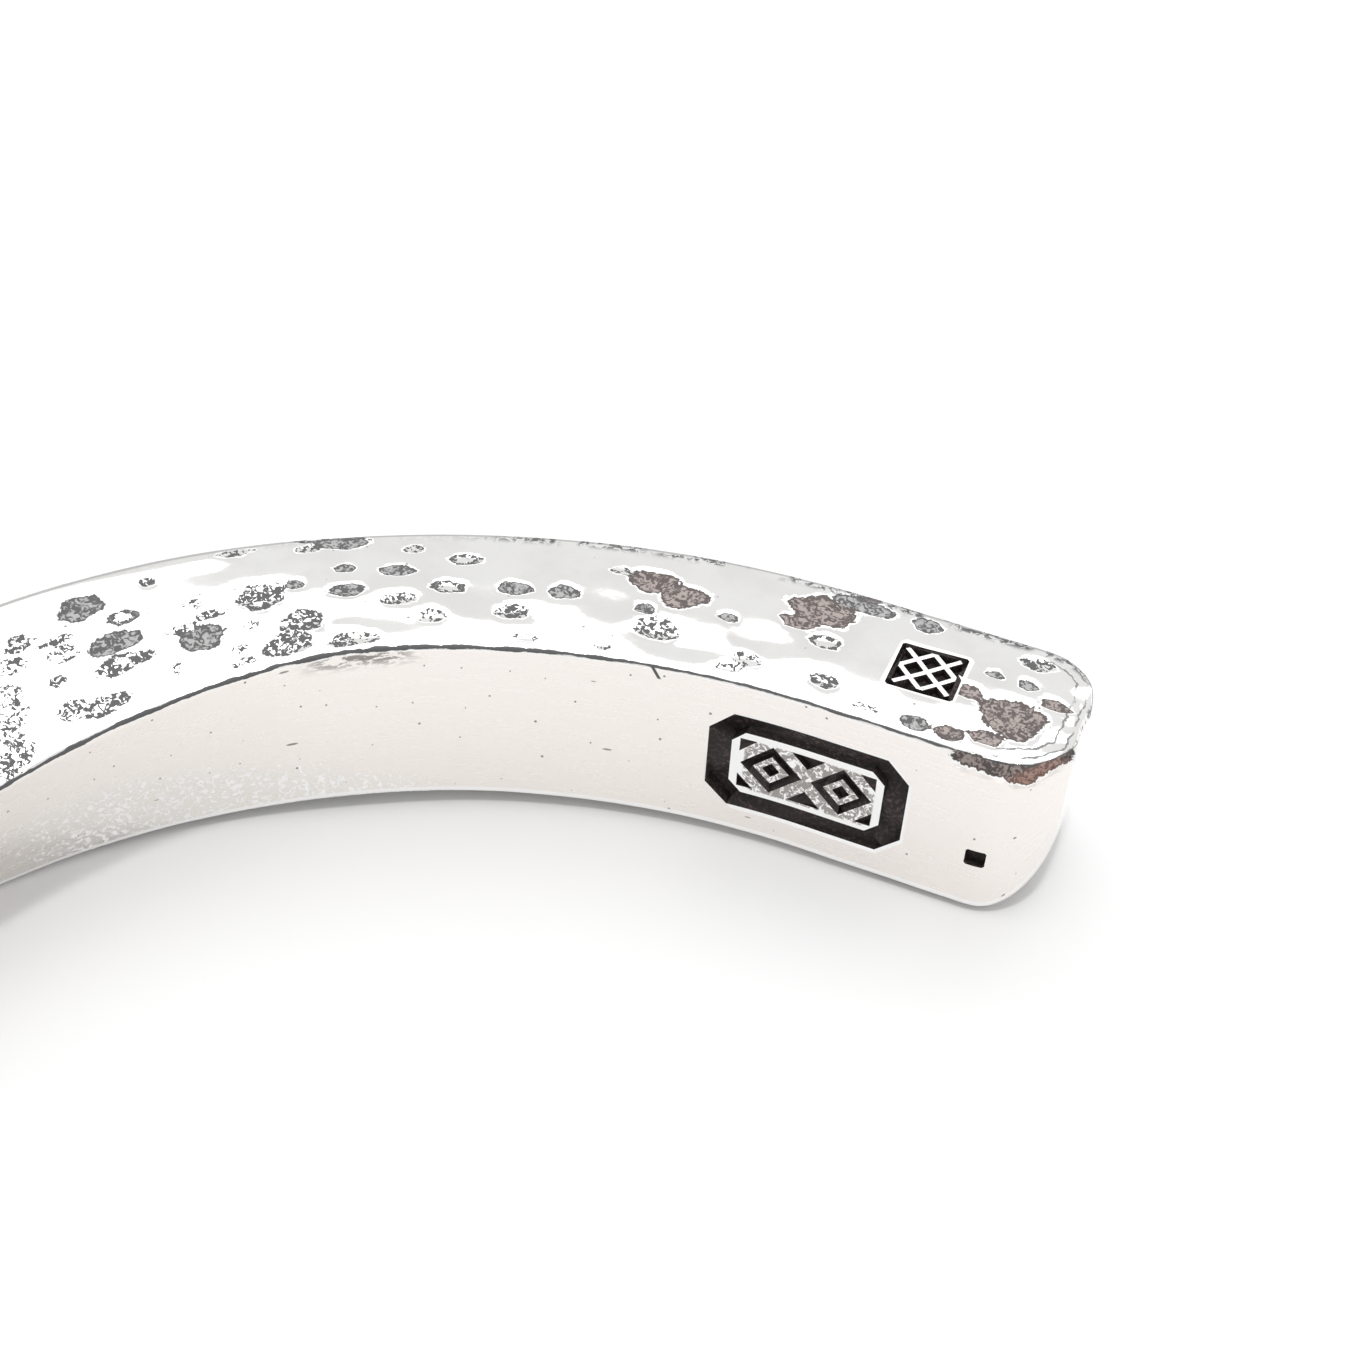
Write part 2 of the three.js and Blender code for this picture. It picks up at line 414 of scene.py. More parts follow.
@dataclass
class StraightBlank:
    """The bar before it is bent: distance along in X, out in Y and up in Z.

    Its skin is measured round the section from the ridge, which is the edge between the smooth face and the
    top: above 0 over the top, and below 0 down the smooth face.
    """

    path: CuffPath
    height: float = 6.0 * MM
    inner_side: float = 2.7 * MM
    outer_side: float = 3.0 * MM
    crown: float = 0.12 * MM
    crown_fades: Point = (38 * MM, 55 * MM)
    ridge: float = 0.18 * MM
    outer_top: float = 0.22 * MM
    outer_foot: float = 0.45 * MM
    inner_foot: float = 0.16 * MM
    corner_share: float = 0.46
    arc_step: float = 22.5
    edge_hammered: float = 0.25
    least_hammered: float = 0.3
    hammered_rise: float = 6.0
    fine_length: float = 38 * MM
    fine_step: float = 0.125 * MM
    coarse_step: float = 0.3 * MM
    tip_steps: int = 20
    cap_rings: int = 9

    def stations(self) -> np.ndarray:
        """Where the rings of points stand: close at both tips and along the marked end, wider between.

        Returns:
            Distances from the marked tip.
        """
        reach = max(side.value.rounding for side in Side)
        length = self.path.length()
        quarter = np.linspace(0, math.pi / 2, self.tip_steps)
        tip = reach * (1 - np.cos(quarter))
        fine = np.arange(reach + self.fine_step, self.fine_length, self.fine_step)
        coarse = np.arange(self.fine_length, length - reach, self.coarse_step)
        return np.concatenate([tip, fine, coarse, length - tip[::-1]])

    def inset(self, side: Side, depth: np.ndarray) -> np.ndarray:
        """How far a side has drawn in near a tip.

        Args:
            side: the side.
            depth: distances behind the end face.

        Returns:
            The insets.
        """
        radius = side.value.rounding
        short = np.clip(radius - depth, 0, None)
        return radius - np.sqrt(radius**2 - short**2)

    def arcs(self, depth: np.ndarray) -> list[np.ndarray]:
        """The section's rounded edges, from the middle of the outer foot edge round to it again.

        Args:
            depth: how far each station is behind its end face.

        Returns:
            The points of each as [station, point, out and up].
        """
        inset = {side: self.inset(side, depth) for side in Side}
        edges = {
            Side.OUTER: (self.outer_side - inset[Side.OUTER] - self.crown, -1),
            Side.SMOOTH: (inset[Side.SMOOTH] - self.inner_side, 1),
            Side.TOP: (self.height / 2 - inset[Side.TOP], -1),
            Side.FOOT: (inset[Side.FOOT] - self.height / 2, 1),
        }
        width = edges[Side.OUTER][0] - edges[Side.SMOOTH][0]
        height = edges[Side.TOP][0] - edges[Side.FOOT][0]
        widest = self.corner_share * np.minimum(width, height)
        corners = (
            (Side.OUTER, Side.FOOT, self.outer_foot, -45, -45),
            (Side.SMOOTH, Side.FOOT, self.inner_foot, -90, -90),
            (Side.SMOOTH, Side.TOP, self.ridge, 180, -90),
            (Side.OUTER, Side.TOP, self.outer_top, 90, -90),
            (Side.OUTER, Side.FOOT, self.outer_foot, 0, -45),
        )
        arcs = []
        for upright, level, rounding, start, sweep in corners:
            (x, inward), (y, rise) = edges[upright], edges[level]
            radius = np.minimum(rounding + np.minimum(inset[upright], inset[level]) / 2, widest)
            steps = round(abs(sweep) / self.arc_step) + 1
            angle = np.radians(start + np.linspace(0, 1, steps) * sweep)
            out = (x + inward * radius)[:, None] + radius[:, None] * np.cos(angle)
            up = (y + rise * radius)[:, None] + radius[:, None] * np.sin(angle)
            arcs.append(np.stack([out, up], 2))
        return arcs

    def rings(self, depth: np.ndarray) -> tuple[np.ndarray, list[Side], np.ndarray]:
        """The section's outline at each station.

        Args:
            depth: how far each station is behind its end face.

        Returns:
            The points as [station, place round, out and up], each place's side, and how hammered each is.
        """
        arcs = self.arcs(depth)
        rows, sides, hammered = [], [], []
        for side, before, after in zip(Side, arcs, arcs[1:]):
            across = np.linspace(0, 1, side.value.steps + 1)[1:-1]
            flat = before[:, -1:] + (after[:, :1] - before[:, -1:]) * across[None, :, None]
            if side is Side.OUTER:
                flat[:, :, 0] += self.crown * (1 - (2 * across - 1) ** 2)
            rows += [before, flat]
            sides += [side] * (before.shape[1] + len(across))
            rise = self.hammered_rise * np.minimum(across, 1 - across)
            worked = side.value.hammered * np.clip(rise, self.least_hammered, 1)
            hammered += [self.edge_hammered] * before.shape[1] + list(worked)
        last = arcs[-1][:, :-1]
        rows.append(last)
        sides += [Side.OUTER] * last.shape[1]
        hammered += [self.edge_hammered] * last.shape[1]
        return np.concatenate(rows, 1), sides, np.array(hammered)

    def section(self) -> tuple[np.ndarray, list[Side], np.ndarray]:
        """The outline's points in the middle of the bar, their sides, and how hammered they are."""
        rings, sides, hammered = self.rings(np.array([self.path.length() / 2]))
        return rings[0], sides, hammered

    def skin(self) -> np.ndarray:
        """How far round the section each place is from the ridge.

        Returns:
            The distances, with the first place once more at the end.
        """
        ring, _, _ = self.section()
        ring = np.concatenate([ring, ring[:1]])
        around = np.concatenate([[0.0], np.cumsum(np.linalg.norm(np.diff(ring, axis=0), axis=1))])
        corner = np.array([-self.inner_side, self.height / 2])
        return around - around[int(np.argmin(np.linalg.norm(ring - corner, axis=1)))]

    def points(self) -> np.ndarray:
        """Every point of the blank: the rings, and smaller rings inside both end faces.

        Returns:
            The points as [ring, place round, along and out and up].
        """
        stations = self.stations()
        outline, _, _ = self.rings(np.minimum(stations, self.path.length() - stations))
        along = np.broadcast_to(stations[:, None, None], outline.shape[:2] + (1,))
        rings = self.raise_top(np.concatenate([along, outline], 2))
        shrink = np.linspace(0, 1, self.cap_rings + 1)[1:-1, None, None]
        caps = [end.mean(0) + (end - end.mean(0))[None] * shrink for end in (rings[0], rings[-1])]
        return np.concatenate([caps[0], rings, caps[1][::-1]])

    def raise_top(self, grid: np.ndarray) -> np.ndarray:
        """Crowns the top face at the marked end.

        Args:
            grid: the blank's points, ring by ring.

        Returns:
            The points with the middle of the top raised.
        """
        _, sides, _ = self.section()
        top = np.array([side is Side.TOP for side in sides])
        start, end = self.crown_fades
        fade = np.clip((end - grid[:, :, 0]) / (end - start), 0, 1)
        across = (grid[:, :, 1] + self.inner_side) / (self.inner_side + self.outer_side)
        swell = np.clip(1 - (2 * across - 1) ** 2, 0, 1)
        raised = grid.copy()
        raised[:, :, 2] += self.crown * fade * swell * top[None, :]
        return raised

    def on_skin(self, rings: int) -> np.ndarray:
        """How much of the skin's work each ring takes: 1 on the bar's length, and almost 0 mid end face."""
        ring = np.arange(rings)
        return np.clip((np.minimum(ring, ring[::-1]) + 1) / self.cap_rings, 0, 1)[:, None] ** 2

    def tip_depth(self, grid: np.ndarray) -> np.ndarray:
        """How far each point is inside the marked tip's outline, as seen from the top.

        Args:
            grid: the blank's points, ring by ring.

        Returns:
            The distances.
        """
        along, out = grid[:, :, 0], grid[:, :, 1]
        depth = along
        edges = ((Side.OUTER, self.outer_side - self.crown, 1), (Side.SMOOTH, self.inner_side, -1))
        for side, edge, sign in edges:
            radius = side.value.rounding
            ahead, aside = radius - along, sign * out - edge + radius
            in_corner = (ahead > 0) & (aside > 0)
            depth = np.where(in_corner, np.minimum(depth, radius - np.hypot(ahead, aside)), depth)
        return depth


# ---------------------------------------------------------------- hammer work


class Look(Enum):
    """How a hollow looks: its depth, how dense and how brown its oxide is, and how low a bowl it lies in."""

    DARK = (0.45, 0.86, 0.1, 0.4)
    SPECKLED = (0.4, 0.55, 0.0, 0.8)
    FLECKS = (0.2, 0.45, 0.0, 0.4)
    RING = (0.4, 0.7, 0.0, 0.4)
    BROWN = (0.5, 1.0, 0.9, 0.2)
    CHIP = (3.2, 1.0, 1.0, 0.0)
    RUST = (2.4, 1.0, 1.5, 0.0)
    SANDY = (0.2, 0.47, 0.0, 0.3)
    DIMPLE = (0.0, 0.0, 0.0, 1.0)


class Size(Enum):
    """How long and how wide a hollow is, in millimetres."""

    SMALL = (0.6, 0.4)
    MIDDLE = (1.0, 0.6)
    BIG = (1.4, 1.0)
    PATCH = (1.9, 1.5)
    LONG = (1.8, 0.7)
    THIN = (1.1, 0.3)


@dataclass(frozen=True)
class Blows:
    """Hollows of one look and one size at the marked end.

    They are charted against the small square mark and the nick in the ridge. Each place is in
    millimetres from the tip, and in tenths of the top's width from the ridge. Below 0 it is under the ridge.
    """

    look: Look
    size: Size
    places: tuple[Point, ...]


MARKED_END_BLOWS = (
    Blows(Look.BROWN, Size.PATCH, ((2, 3.5), (8.5, 7.5))),
    Blows(Look.BROWN, Size.BIG, ((12.5, 6), (13.5, 7))),
    Blows(Look.BROWN, Size.MIDDLE, ((1, 5.5), (2.5, 1.5), (3.5, 1), (3.5, 4.5), (9, 6))),
    Blows(Look.DARK, Size.LONG, ((7.5, 9), (22.5, 9.5), (29.5, 5))),
    Blows(Look.DARK, Size.BIG, ((27, 3.5), (30, 8))),
    Blows(Look.DARK, Size.MIDDLE, ((4.5, 1), (5.5, 9), (16, 5), (17.5, 5), (21, 6.5), (22.5, 5))),
    Blows(Look.DARK, Size.SMALL, ((2, 6.5), (3, 6.5), (11, 5), (13.5, 4.5), (22.5, 7), (24, 6))),
    Blows(Look.SPECKLED, Size.LONG, ((22.5, 1), (29.5, 3.5), (30.5, 1.5))),
    Blows(Look.SPECKLED, Size.BIG, ((13, 3), (24, 3), (24.5, 1.5), (25, 5.5))),
    Blows(Look.SPECKLED, Size.MIDDLE, ((2, 8.5), (7.5, 2), (17.5, 3), (21, 4), (31.5, 2))),
    Blows(Look.SPECKLED, Size.SMALL, ((23.5, 9), (28, 8.5), (31.5, 4), (32, 7.5))),
    Blows(Look.SPECKLED, Size.THIN, ((26.5, 5), (27.5, 4.5), (31, 6.5), (32, 7))),
    Blows(Look.RING, Size.MIDDLE, ((8, 5), (19, 7.5), (19.5, 5), (29, 6.5))),
    Blows(Look.FLECKS, Size.MIDDLE, ((10, 2), (20, 2.5), (31, 5.5), (32.5, 6), (33, 4.5))),
    Blows(Look.FLECKS, Size.SMALL, ((14.5, 1), (14.5, 7.5), (20.5, 8.5), (25.5, 3.5))),
    Blows(Look.FLECKS, Size.SMALL, ((26, 2), (27, 6), (28, 2))),
    Blows(Look.FLECKS, Size.THIN, ((6, 1), (10.5, 1), (17, 1), (25.5, 9.5), (26, 1))),
    Blows(Look.SANDY, Size.PATCH, ((33.5, 3.5), (34, 1.5), (35, 2.5))),
    Blows(Look.DIMPLE, Size.BIG, ((6.5, 5), (10, 4), (11.5, 2), (14.5, 4.5), (18.5, 4), (22, 3))),
    Blows(Look.CHIP, Size.LONG, ((1.5, -0.6), (2.5, -0.5))),
    Blows(Look.RUST, Size.MIDDLE, ((0.5, -0.6), (1, -1))),
    Blows(Look.CHIP, Size.SMALL, ((0, -0.5),)),
)


@dataclass
class HammerWork:
    """The blows on the hammered faces: charted ones on the marked end's top, scattered ones elsewhere."""

    blows: tuple[Blows, ...] = MARKED_END_BLOWS
    top_width: float = 5.4 * MM
    charted_length: float = 36 * MM
    bare_tip: float = 2.2 * MM
    size_spread: Point = (0.88, 1.12)
    slant: float = 0.25
    wobble: float = 0.09
    lobes: tuple[int, ...] = (2, 3, 5)
    lobe_phase: float = 6.3
    bowl_reach: float = 2.1
    ring_slope: float = 1.7
    ring_hollow: float = 0.3
    tip_fade: float = 1.2 * MM
    tip_least: float = 0.25
    burr_place: Point = (0.3 * MM, 2.4 * MM)
    burr_reach: Point = (0.7 * MM, 3.2 * MM)
    seed: int = 7

    def lay(self, along: np.ndarray, skin: np.ndarray) -> dict[str, np.ndarray]:
        """Where the charted hollows lie on the skin.

        Args:
            along: each point's distance from the marked tip.
            skin: each point's distance round the section from the ridge.

        Returns:
            For each point, by name: how far inside a pit it is, how dense and how brown its oxide is, how
            deep it goes, and how low it lies in a soft bowl.
        """
        laid = {name: np.zeros_like(along) for name in ("pit", "dark", "brown", "deep", "bowl")}
        rng = np.random.default_rng(self.seed)
        charted = [(blows, place) for blows in self.blows for place in blows.places]
        for blows, (from_tip, tenths) in charted:
            length, width = np.array(blows.size.value) * MM * rng.uniform(*self.size_spread, 2)
            turn = rng.uniform(-self.slant, self.slant)
            x = (along - from_tip * MM) / (length / 2)
            y = (skin - tenths / 10 * self.top_width) / (width / 2)
            x, y = x * math.cos(turn) + y * math.sin(turn), y * math.cos(turn) - x * math.sin(turn)
            away = np.hypot(x, y) / (1 + self.lobed(rng, np.arctan2(y, x)))
            deep, dark, brown, bowl = blows.look.value
            soft = np.clip(1 - (away / self.bowl_reach) ** 2, 0, 1) ** 2
            laid["bowl"] = np.maximum(laid["bowl"], bowl * soft)
            if blows.look is Look.DIMPLE:
                continue
            inside = np.clip(PIT_REACH - away, 0, PIT_REACH) / PIT_REACH
            if blows.look is Look.RING:
                dark = dark * np.clip(self.ring_slope * away - self.ring_hollow, 0, 1)
            near = inside > laid["pit"]
            for name, value in (("dark", dark), ("brown", brown), ("deep", deep), ("pit", inside)):
                laid[name] = np.where(near, value, laid[name])
        return laid

    def lobed(self, rng: np.random.Generator, bearing: np.ndarray) -> np.ndarray:
        """How far a hollow's outline swells out of its ellipse.

        Args:
            rng: what draws the lobes.
            bearing: the direction of each point from the hollow's middle.

        Returns:
            The swell, as a share of the ellipse's radius.
        """
        swell = np.zeros_like(bearing)
        for lobes in self.lobes:
            height = rng.uniform(-self.wobble, self.wobble)
            swell += height * np.cos(lobes * bearing + rng.uniform(0, self.lobe_phase))
        return swell


# ---------------------------------------------------------------- the tree that forges the bar


@dataclass
class ForgeTree:
    """The Geometry Nodes tree that sinks the blows into a straight blank, twists it and bends it round.

    Each number of the path and of this class is a named input of the tree.
    """

    path: CuffPath
    dimple_size: float = 2.1 * MM
    dimple_depth: float = 0.045 * MM
    bowl_depth: float = 0.03 * MM
    pit_spacing: float = 1.25 * MM
    pit_depth: float = 0.07 * MM
    scattered_depth: float = 0.6
    empty_cells: float = 0.34
    waver_size: float = 6.0 * MM
    waver_depth: float = 0.09 * MM
    burr_size: float = 0.9 * MM
    burr_depth: float = 0.1 * MM
    curve_points: int = 1500
    seed: int = 4
    dimple: Fade = Fade(0.05, 0.62, 1.0, 0.0)
    pit_radius: Fade = Fade(0.0, 1.0, 0.16, 0.44)
    pit_wall: Fade = Fade(0.24, 0.5)
    scattered_dark: Fade = Fade(0.15, 0.9, 0.35, 1.0)
    scattered_brown: Fade = Fade(0.55, 0.95, 0.0, 0.9)
    burr: Fade = Fade(0.35, 0.65)

    def sizes(self) -> dict[str, tuple[str, float]]:
        """The tree's named numbers.

        Returns:
            The type and value of each by its name, such as Half Length.
        """
        values = {**vars(self.path), **vars(self)}
        return {
            name.replace("_", " ").title(): ("Int" if isinstance(value, int) else "Float", value)
            for name, value in values.items()
            if isinstance(value, (int, float))
        }

    def build(self) -> bpy.types.NodeTree:
        """Makes the tree.

        Returns:
            The tree, which ends in Realize Instances and Set Material.
        """
        finishes = {"Hammered Finish": ("Material", None), "Smooth Finish": ("Material", None)}
        inputs = {"Blank": ("Geometry", None), **self.sizes(), "Stand": ("Vector", None), **finishes}
        g, given = new_group("forge_cuff", "GeometryNodeTree", inputs, {"Bar": "Geometry"})
        bent = self.bend(g, given, self.hammer(g, given))
        place = {"Rotation": g.combine(given["Lean"]), "Translation": given["Stand"]}
        moved = g.wire("GeometryNodeTransform", {"Geometry": bent, **place})
        whole = g.wire("GeometryNodeRealizeInstances", {0: moved})
        rough = g.wire("GeometryNodeSetMaterial", {"Geometry": whole, "Material": given["Hammered Finish"]})
        smooth = {"Selection": self.read(g, "smooth_face", "BOOLEAN"), "Material": given["Smooth Finish"]}
        g.node("NodeGroupOutput", {0: g.wire("GeometryNodeSetMaterial", {"Geometry": rough, **smooth})})
        return g.tree

    def read(self, g: Graph, name: str, kind: str = "FLOAT") -> Wire:
        """An attribute of the blank."""
        return g.wire("GeometryNodeInputNamedAttribute", {0: name}, data_type=kind)

    def hammer(self, g: Graph, given: dict[str, Wire]) -> Wire:
        """Sinks soft dimples and dark pits into the hammered faces.

        Args:
            g: the tree's graph.
            given: the tree's inputs.

        Returns:
            The hammered blank.
        """
        position = g.wire("GeometryNodeInputPosition")
        place = g.vector("ADD", position, g.vector("SCALE", (1.0, 1.0, 1.0), given["Seed"]))
        charted = self.read(g, "pit")
        away, *_ = g.cells(place, given["Dimple Size"], "SMOOTH_F1")
        dimple = away.fade(self.dimple) * given["Dimple Depth"]
        bowl = self.read(g, "bowl") * given["Bowl Depth"]
        away, first, second, third = g.cells(place, given["Pit Spacing"])
        share = away / first.fade(self.pit_radius, smooth=False)
        inside = share.fade(Fade(0.0, PIT_REACH, 1.0, 0.0), smooth=False)
        scattered = inside * second.above(given["Empty Cells"]) * self.read(g, "wild")
        own = scattered.above(charted)
        marks = {
            "dark": g.mix(own, self.read(g, "dark"), third.fade(self.scattered_dark)),
            "brown": g.mix(own, self.read(g, "brown"), first.fade(self.scattered_brown)),
            "pit": scattered | charted,
        }
        bottom = scattered.fade(self.pit_wall) * (given["Pit Depth"] * given["Scattered Depth"])
        blows = self.read(g, "hammered") * (dimple + bowl + bottom)
        sunk = charted.fade(self.pit_wall) * self.read(g, "deep") * given["Pit Depth"]
        waver = g.noise(place, Cloud(given["Waver Size"], 1.0)) * given["Waver Depth"]
        ragged = g.noise(place, Cloud(given["Burr Size"])).fade(self.burr) * self.read(g, "ragged")
        sunk = sunk + blows + (waver + ragged * given["Burr Depth"])
        shape = given["Blank"]
        for name, value in marks.items():
            stored = {"Geometry": shape, "Name": name, "Value": value}
            shape = g.wire("GeometryNodeStoreNamedAttribute", stored, data_type="FLOAT")
        offset = g.vector("SCALE", g.wire("GeometryNodeInputNormal"), -sunk)
        return g.wire("GeometryNodeSetPosition", {"Geometry": shape, "Offset": offset})

    def oval(self, g: Graph, given: dict[str, Wire]) -> Wire:
        """The oval's curve, from the marked tip round to the other.

        Args:
            g: the tree's graph.
            given: the tree's inputs.

        Returns:
            The curve.
        """
        line = g.wire("GeometryNodeCurvePrimitiveLine")
        fine = g.wire("GeometryNodeResampleCurve", {"Curve": line, "Count": given["Curve Points"]})
        share = g.wire("GeometryNodeSplineParameter", output="Factor")
        ends = Fade(0.0, 1.0, given["Tip Angle"], 2 * math.pi - given["Tip Angle"])
        angle = share.fade(ends, smooth=False)
        x = g.math("SINE", angle) * given["Half Length"]
        y = g.math("COSINE", angle) * -given["Half Width"]
        return g.wire("GeometryNodeSetPosition", {"Geometry": fine, "Position": g.combine(x, y)})

    def bend(self, g: Graph, given: dict[str, Wire], bar: Wire) -> Wire:
        """Twists the bar and bends it round the oval.

        Args:
            g: the tree's graph.
            given: the tree's inputs.
            bar: the straight bar.

        Returns:
            The bent bar.
        """
        oval = self.oval(g, given)
        length = g.wire("GeometryNodeCurveLength", {0: oval})
        along, out, up = g.split(g.wire("GeometryNodeInputPosition"))
        bent = (along | given["Straight Tip"]) & (length - given["Straight Tip"])
        whole = {"mode": "LENGTH", "use_all_curves": True}
        sample = g.node("GeometryNodeSampleCurve", {"Curves": oval, "Length": bent}, **whole).outputs
        heading = Wire(g, sample["Tangent"])
        centre = g.vector("ADD", Wire(g, sample["Position"]), g.vector("SCALE", heading, along - bent))
        turned = self.twist(given, along, length)
        sine, cosine = g.math("SINE", turned), g.math("COSINE", turned)
        outward = g.vector("CROSS_PRODUCT", heading, (0.0, 0.0, 1.0))
        spot = g.vector("ADD", centre, g.vector("SCALE", outward, out * cosine - up * sine))
        spot = g.vector("ADD", spot, g.combine(z=out * sine + up * cosine))
        return g.wire("GeometryNodeSetPosition", {"Geometry": bar, "Position": spot})

    def twist(self, given: dict[str, Wire], along: Wire, length: Wire) -> Wire:
        """How far the section has turned at a distance along the bar.

        Args:
            given: the tree's inputs.
            along: the distance from the marked tip.
            length: the bar's length.

        Returns:
            The angle.
        """
        ease = given["Twist Ease"]
        span = length - given["Plain End"] * 2.0
        into = (along - given["Plain End"] | 0.0) & span
        steady = span - ease
        start = (into & ease) ** 2.0 / (ease * 2.0)
        end = (into - steady | 0.0) ** 2.0 / (ease * 2.0)
        turned = start + (into - ease | 0.0) - end
        return given["Turn"] * turned / steady


# ---------------------------------------------------------------- punched marks


def cut_rectangle(length: float, width: float, cut: float) -> list[Point]:
    """The outline of a rectangle round the origin with its corners cut off.

    Args:
        length: its size in X.
        width: its size in Y.
        cut: how much each corner loses along both sides.

    Returns:
        The points, anticlockwise.
    """
    x, y = length / 2, width / 2
    right = [(x, cut - y), (x, y - cut), (x - cut, y), (cut - x, y)]
    return right + [(-a, -b) for a, b in right]


def lozenge(middle: Point, half_length: float, half_width: float) -> list[Point]:
    """The corners of a lozenge with its points on the axes, anticlockwise."""
    x, y = middle
    return [(x + half_length, y), (x, y + half_width), (x - half_length, y), (x, y - half_width)]


def area(outline: list[Point]) -> float:
    """The area inside an outline, above 0 where its points run anticlockwise."""
    return sum(a[0] * b[1] - b[0] * a[1] for a, b in zip(outline, outline[1:] + outline[:1])) / 2


def clip_to_square(outline: list[Point], half: float) -> list[Point]:
    """The part of a convex outline that lies inside a square round the origin.

    Args:
        outline: the outline's points.
        half: half the square's side.

    Returns:
        The points that are left, or none.
    """
    for axis, sign in ((0, 1), (0, -1), (1, 1), (1, -1)):
        kept = []
        for first, second in zip(outline, outline[1:] + outline[:1]):
            a, b = half - sign * first[axis], half - sign * second[axis]
            if a >= 0:
                kept.append(first)
            if a * b < 0:
                share = a / (a - b)
                kept.append(tuple(p + (q - p) * share for p, q in zip(first, second)))
        outline = kept
    return outline


@dataclass
class Punch:
    """A set of punches that stand on one face and sink into it together."""

    name: str
    side: Side
    along: float
    offset: float
    lean: float = 0.0
    proud: float = 0.6 * MM
    draft: float = 0.03 * MM
    points: list[tuple[float, float, float]] = field(default_factory=list)
    faces: list[list[int]] = field(default_factory=list)

    def level(self, outline: list[Point], height: float, narrow: float) -> list[int]:
        """Adds an outline's points at one height.

        Args:
            outline: the outline.
            height: how high above the face it stands.
            narrow: how far each point is drawn in toward the outline's middle.

        Returns:
            The points' numbers.
        """
        start = len(self.points)
        middle = np.mean(outline, 0)
        for point in outline:
            arm = np.array(point) - middle
            x, y = middle + arm * (1 - narrow / math.hypot(*arm))
            self.points.append((x, y, height))
        return list(range(start, len(self.points)))

    def wall(self, first: list[int], second: list[int]) -> None:
        """Joins two outlines of as many points with a band of faces."""
        for i, j in zip(range(len(first)), [*range(1, len(first)), 0]):
            self.faces.append([first[i], first[j], second[j], second[i]])

    def prism(self, outline: list[Point], depth: float) -> None:
        """Adds a punch with a plain outline.

        Args:
            outline: its outline, anticlockwise.
            depth: how far it sinks.
        """
        low, high = self.level(outline, -depth, self.draft), self.level(outline, self.proud, 0.0)
        self.faces += [low[::-1], high]
        self.wall(low, high)

    def frame_prism(self, outer: list[Point], inner: list[Point], depth: float) -> None:
        """Adds a punch with a hole through it.

        Args:
            outer: its outline, anticlockwise.
            inner: the hole's outline, with as many points.
            depth: how far it sinks.
        """
        low, high = self.level(outer, -depth, self.draft), self.level(outer, self.proud, 0.0)
        hole_low, hole_high = self.level(inner, -depth, -self.draft), self.level(inner, self.proud, 0.0)
        rings = [low, high, hole_high, hole_low]
        for first, second in zip(rings, rings[1:] + rings[:1]):
            self.wall(first, second)

    def build(self, blank: StraightBlank, stand: Vector, finish: bpy.types.Material) -> bpy.types.Object:
        """Makes the punches where they strike.

        Args:
            blank: the bar's sizes.
            stand: how far the bent bar moves to its place.
            finish: what the struck metal looks like.

        Returns:
            The punches as one closed object.
        """
        centre, heading, out, up = (v[0] for v in blank.path.frames(np.array([self.along])))
        if self.side is Side.TOP:
            normal, spot = up, centre + (up * blank.height / 2 + out * self.offset)
        else:
            normal, spot = -out, centre - out * blank.inner_side + up * self.offset
        tipward = -heading
        local = np.array(self.points) @ np.array(Matrix.Rotation(self.lean, 3, "Z")).T
        world = spot + local @ np.stack([tipward, np.cross(normal, tipward), normal])
        world = blank.path.leaned(world) + np.array(stand)
        mesh = bpy.data.meshes.new(self.name)
        mesh.from_pydata(world.tolist(), [], self.faces)
        mesh.materials.append(finish)
        return add_object(self.name, mesh)


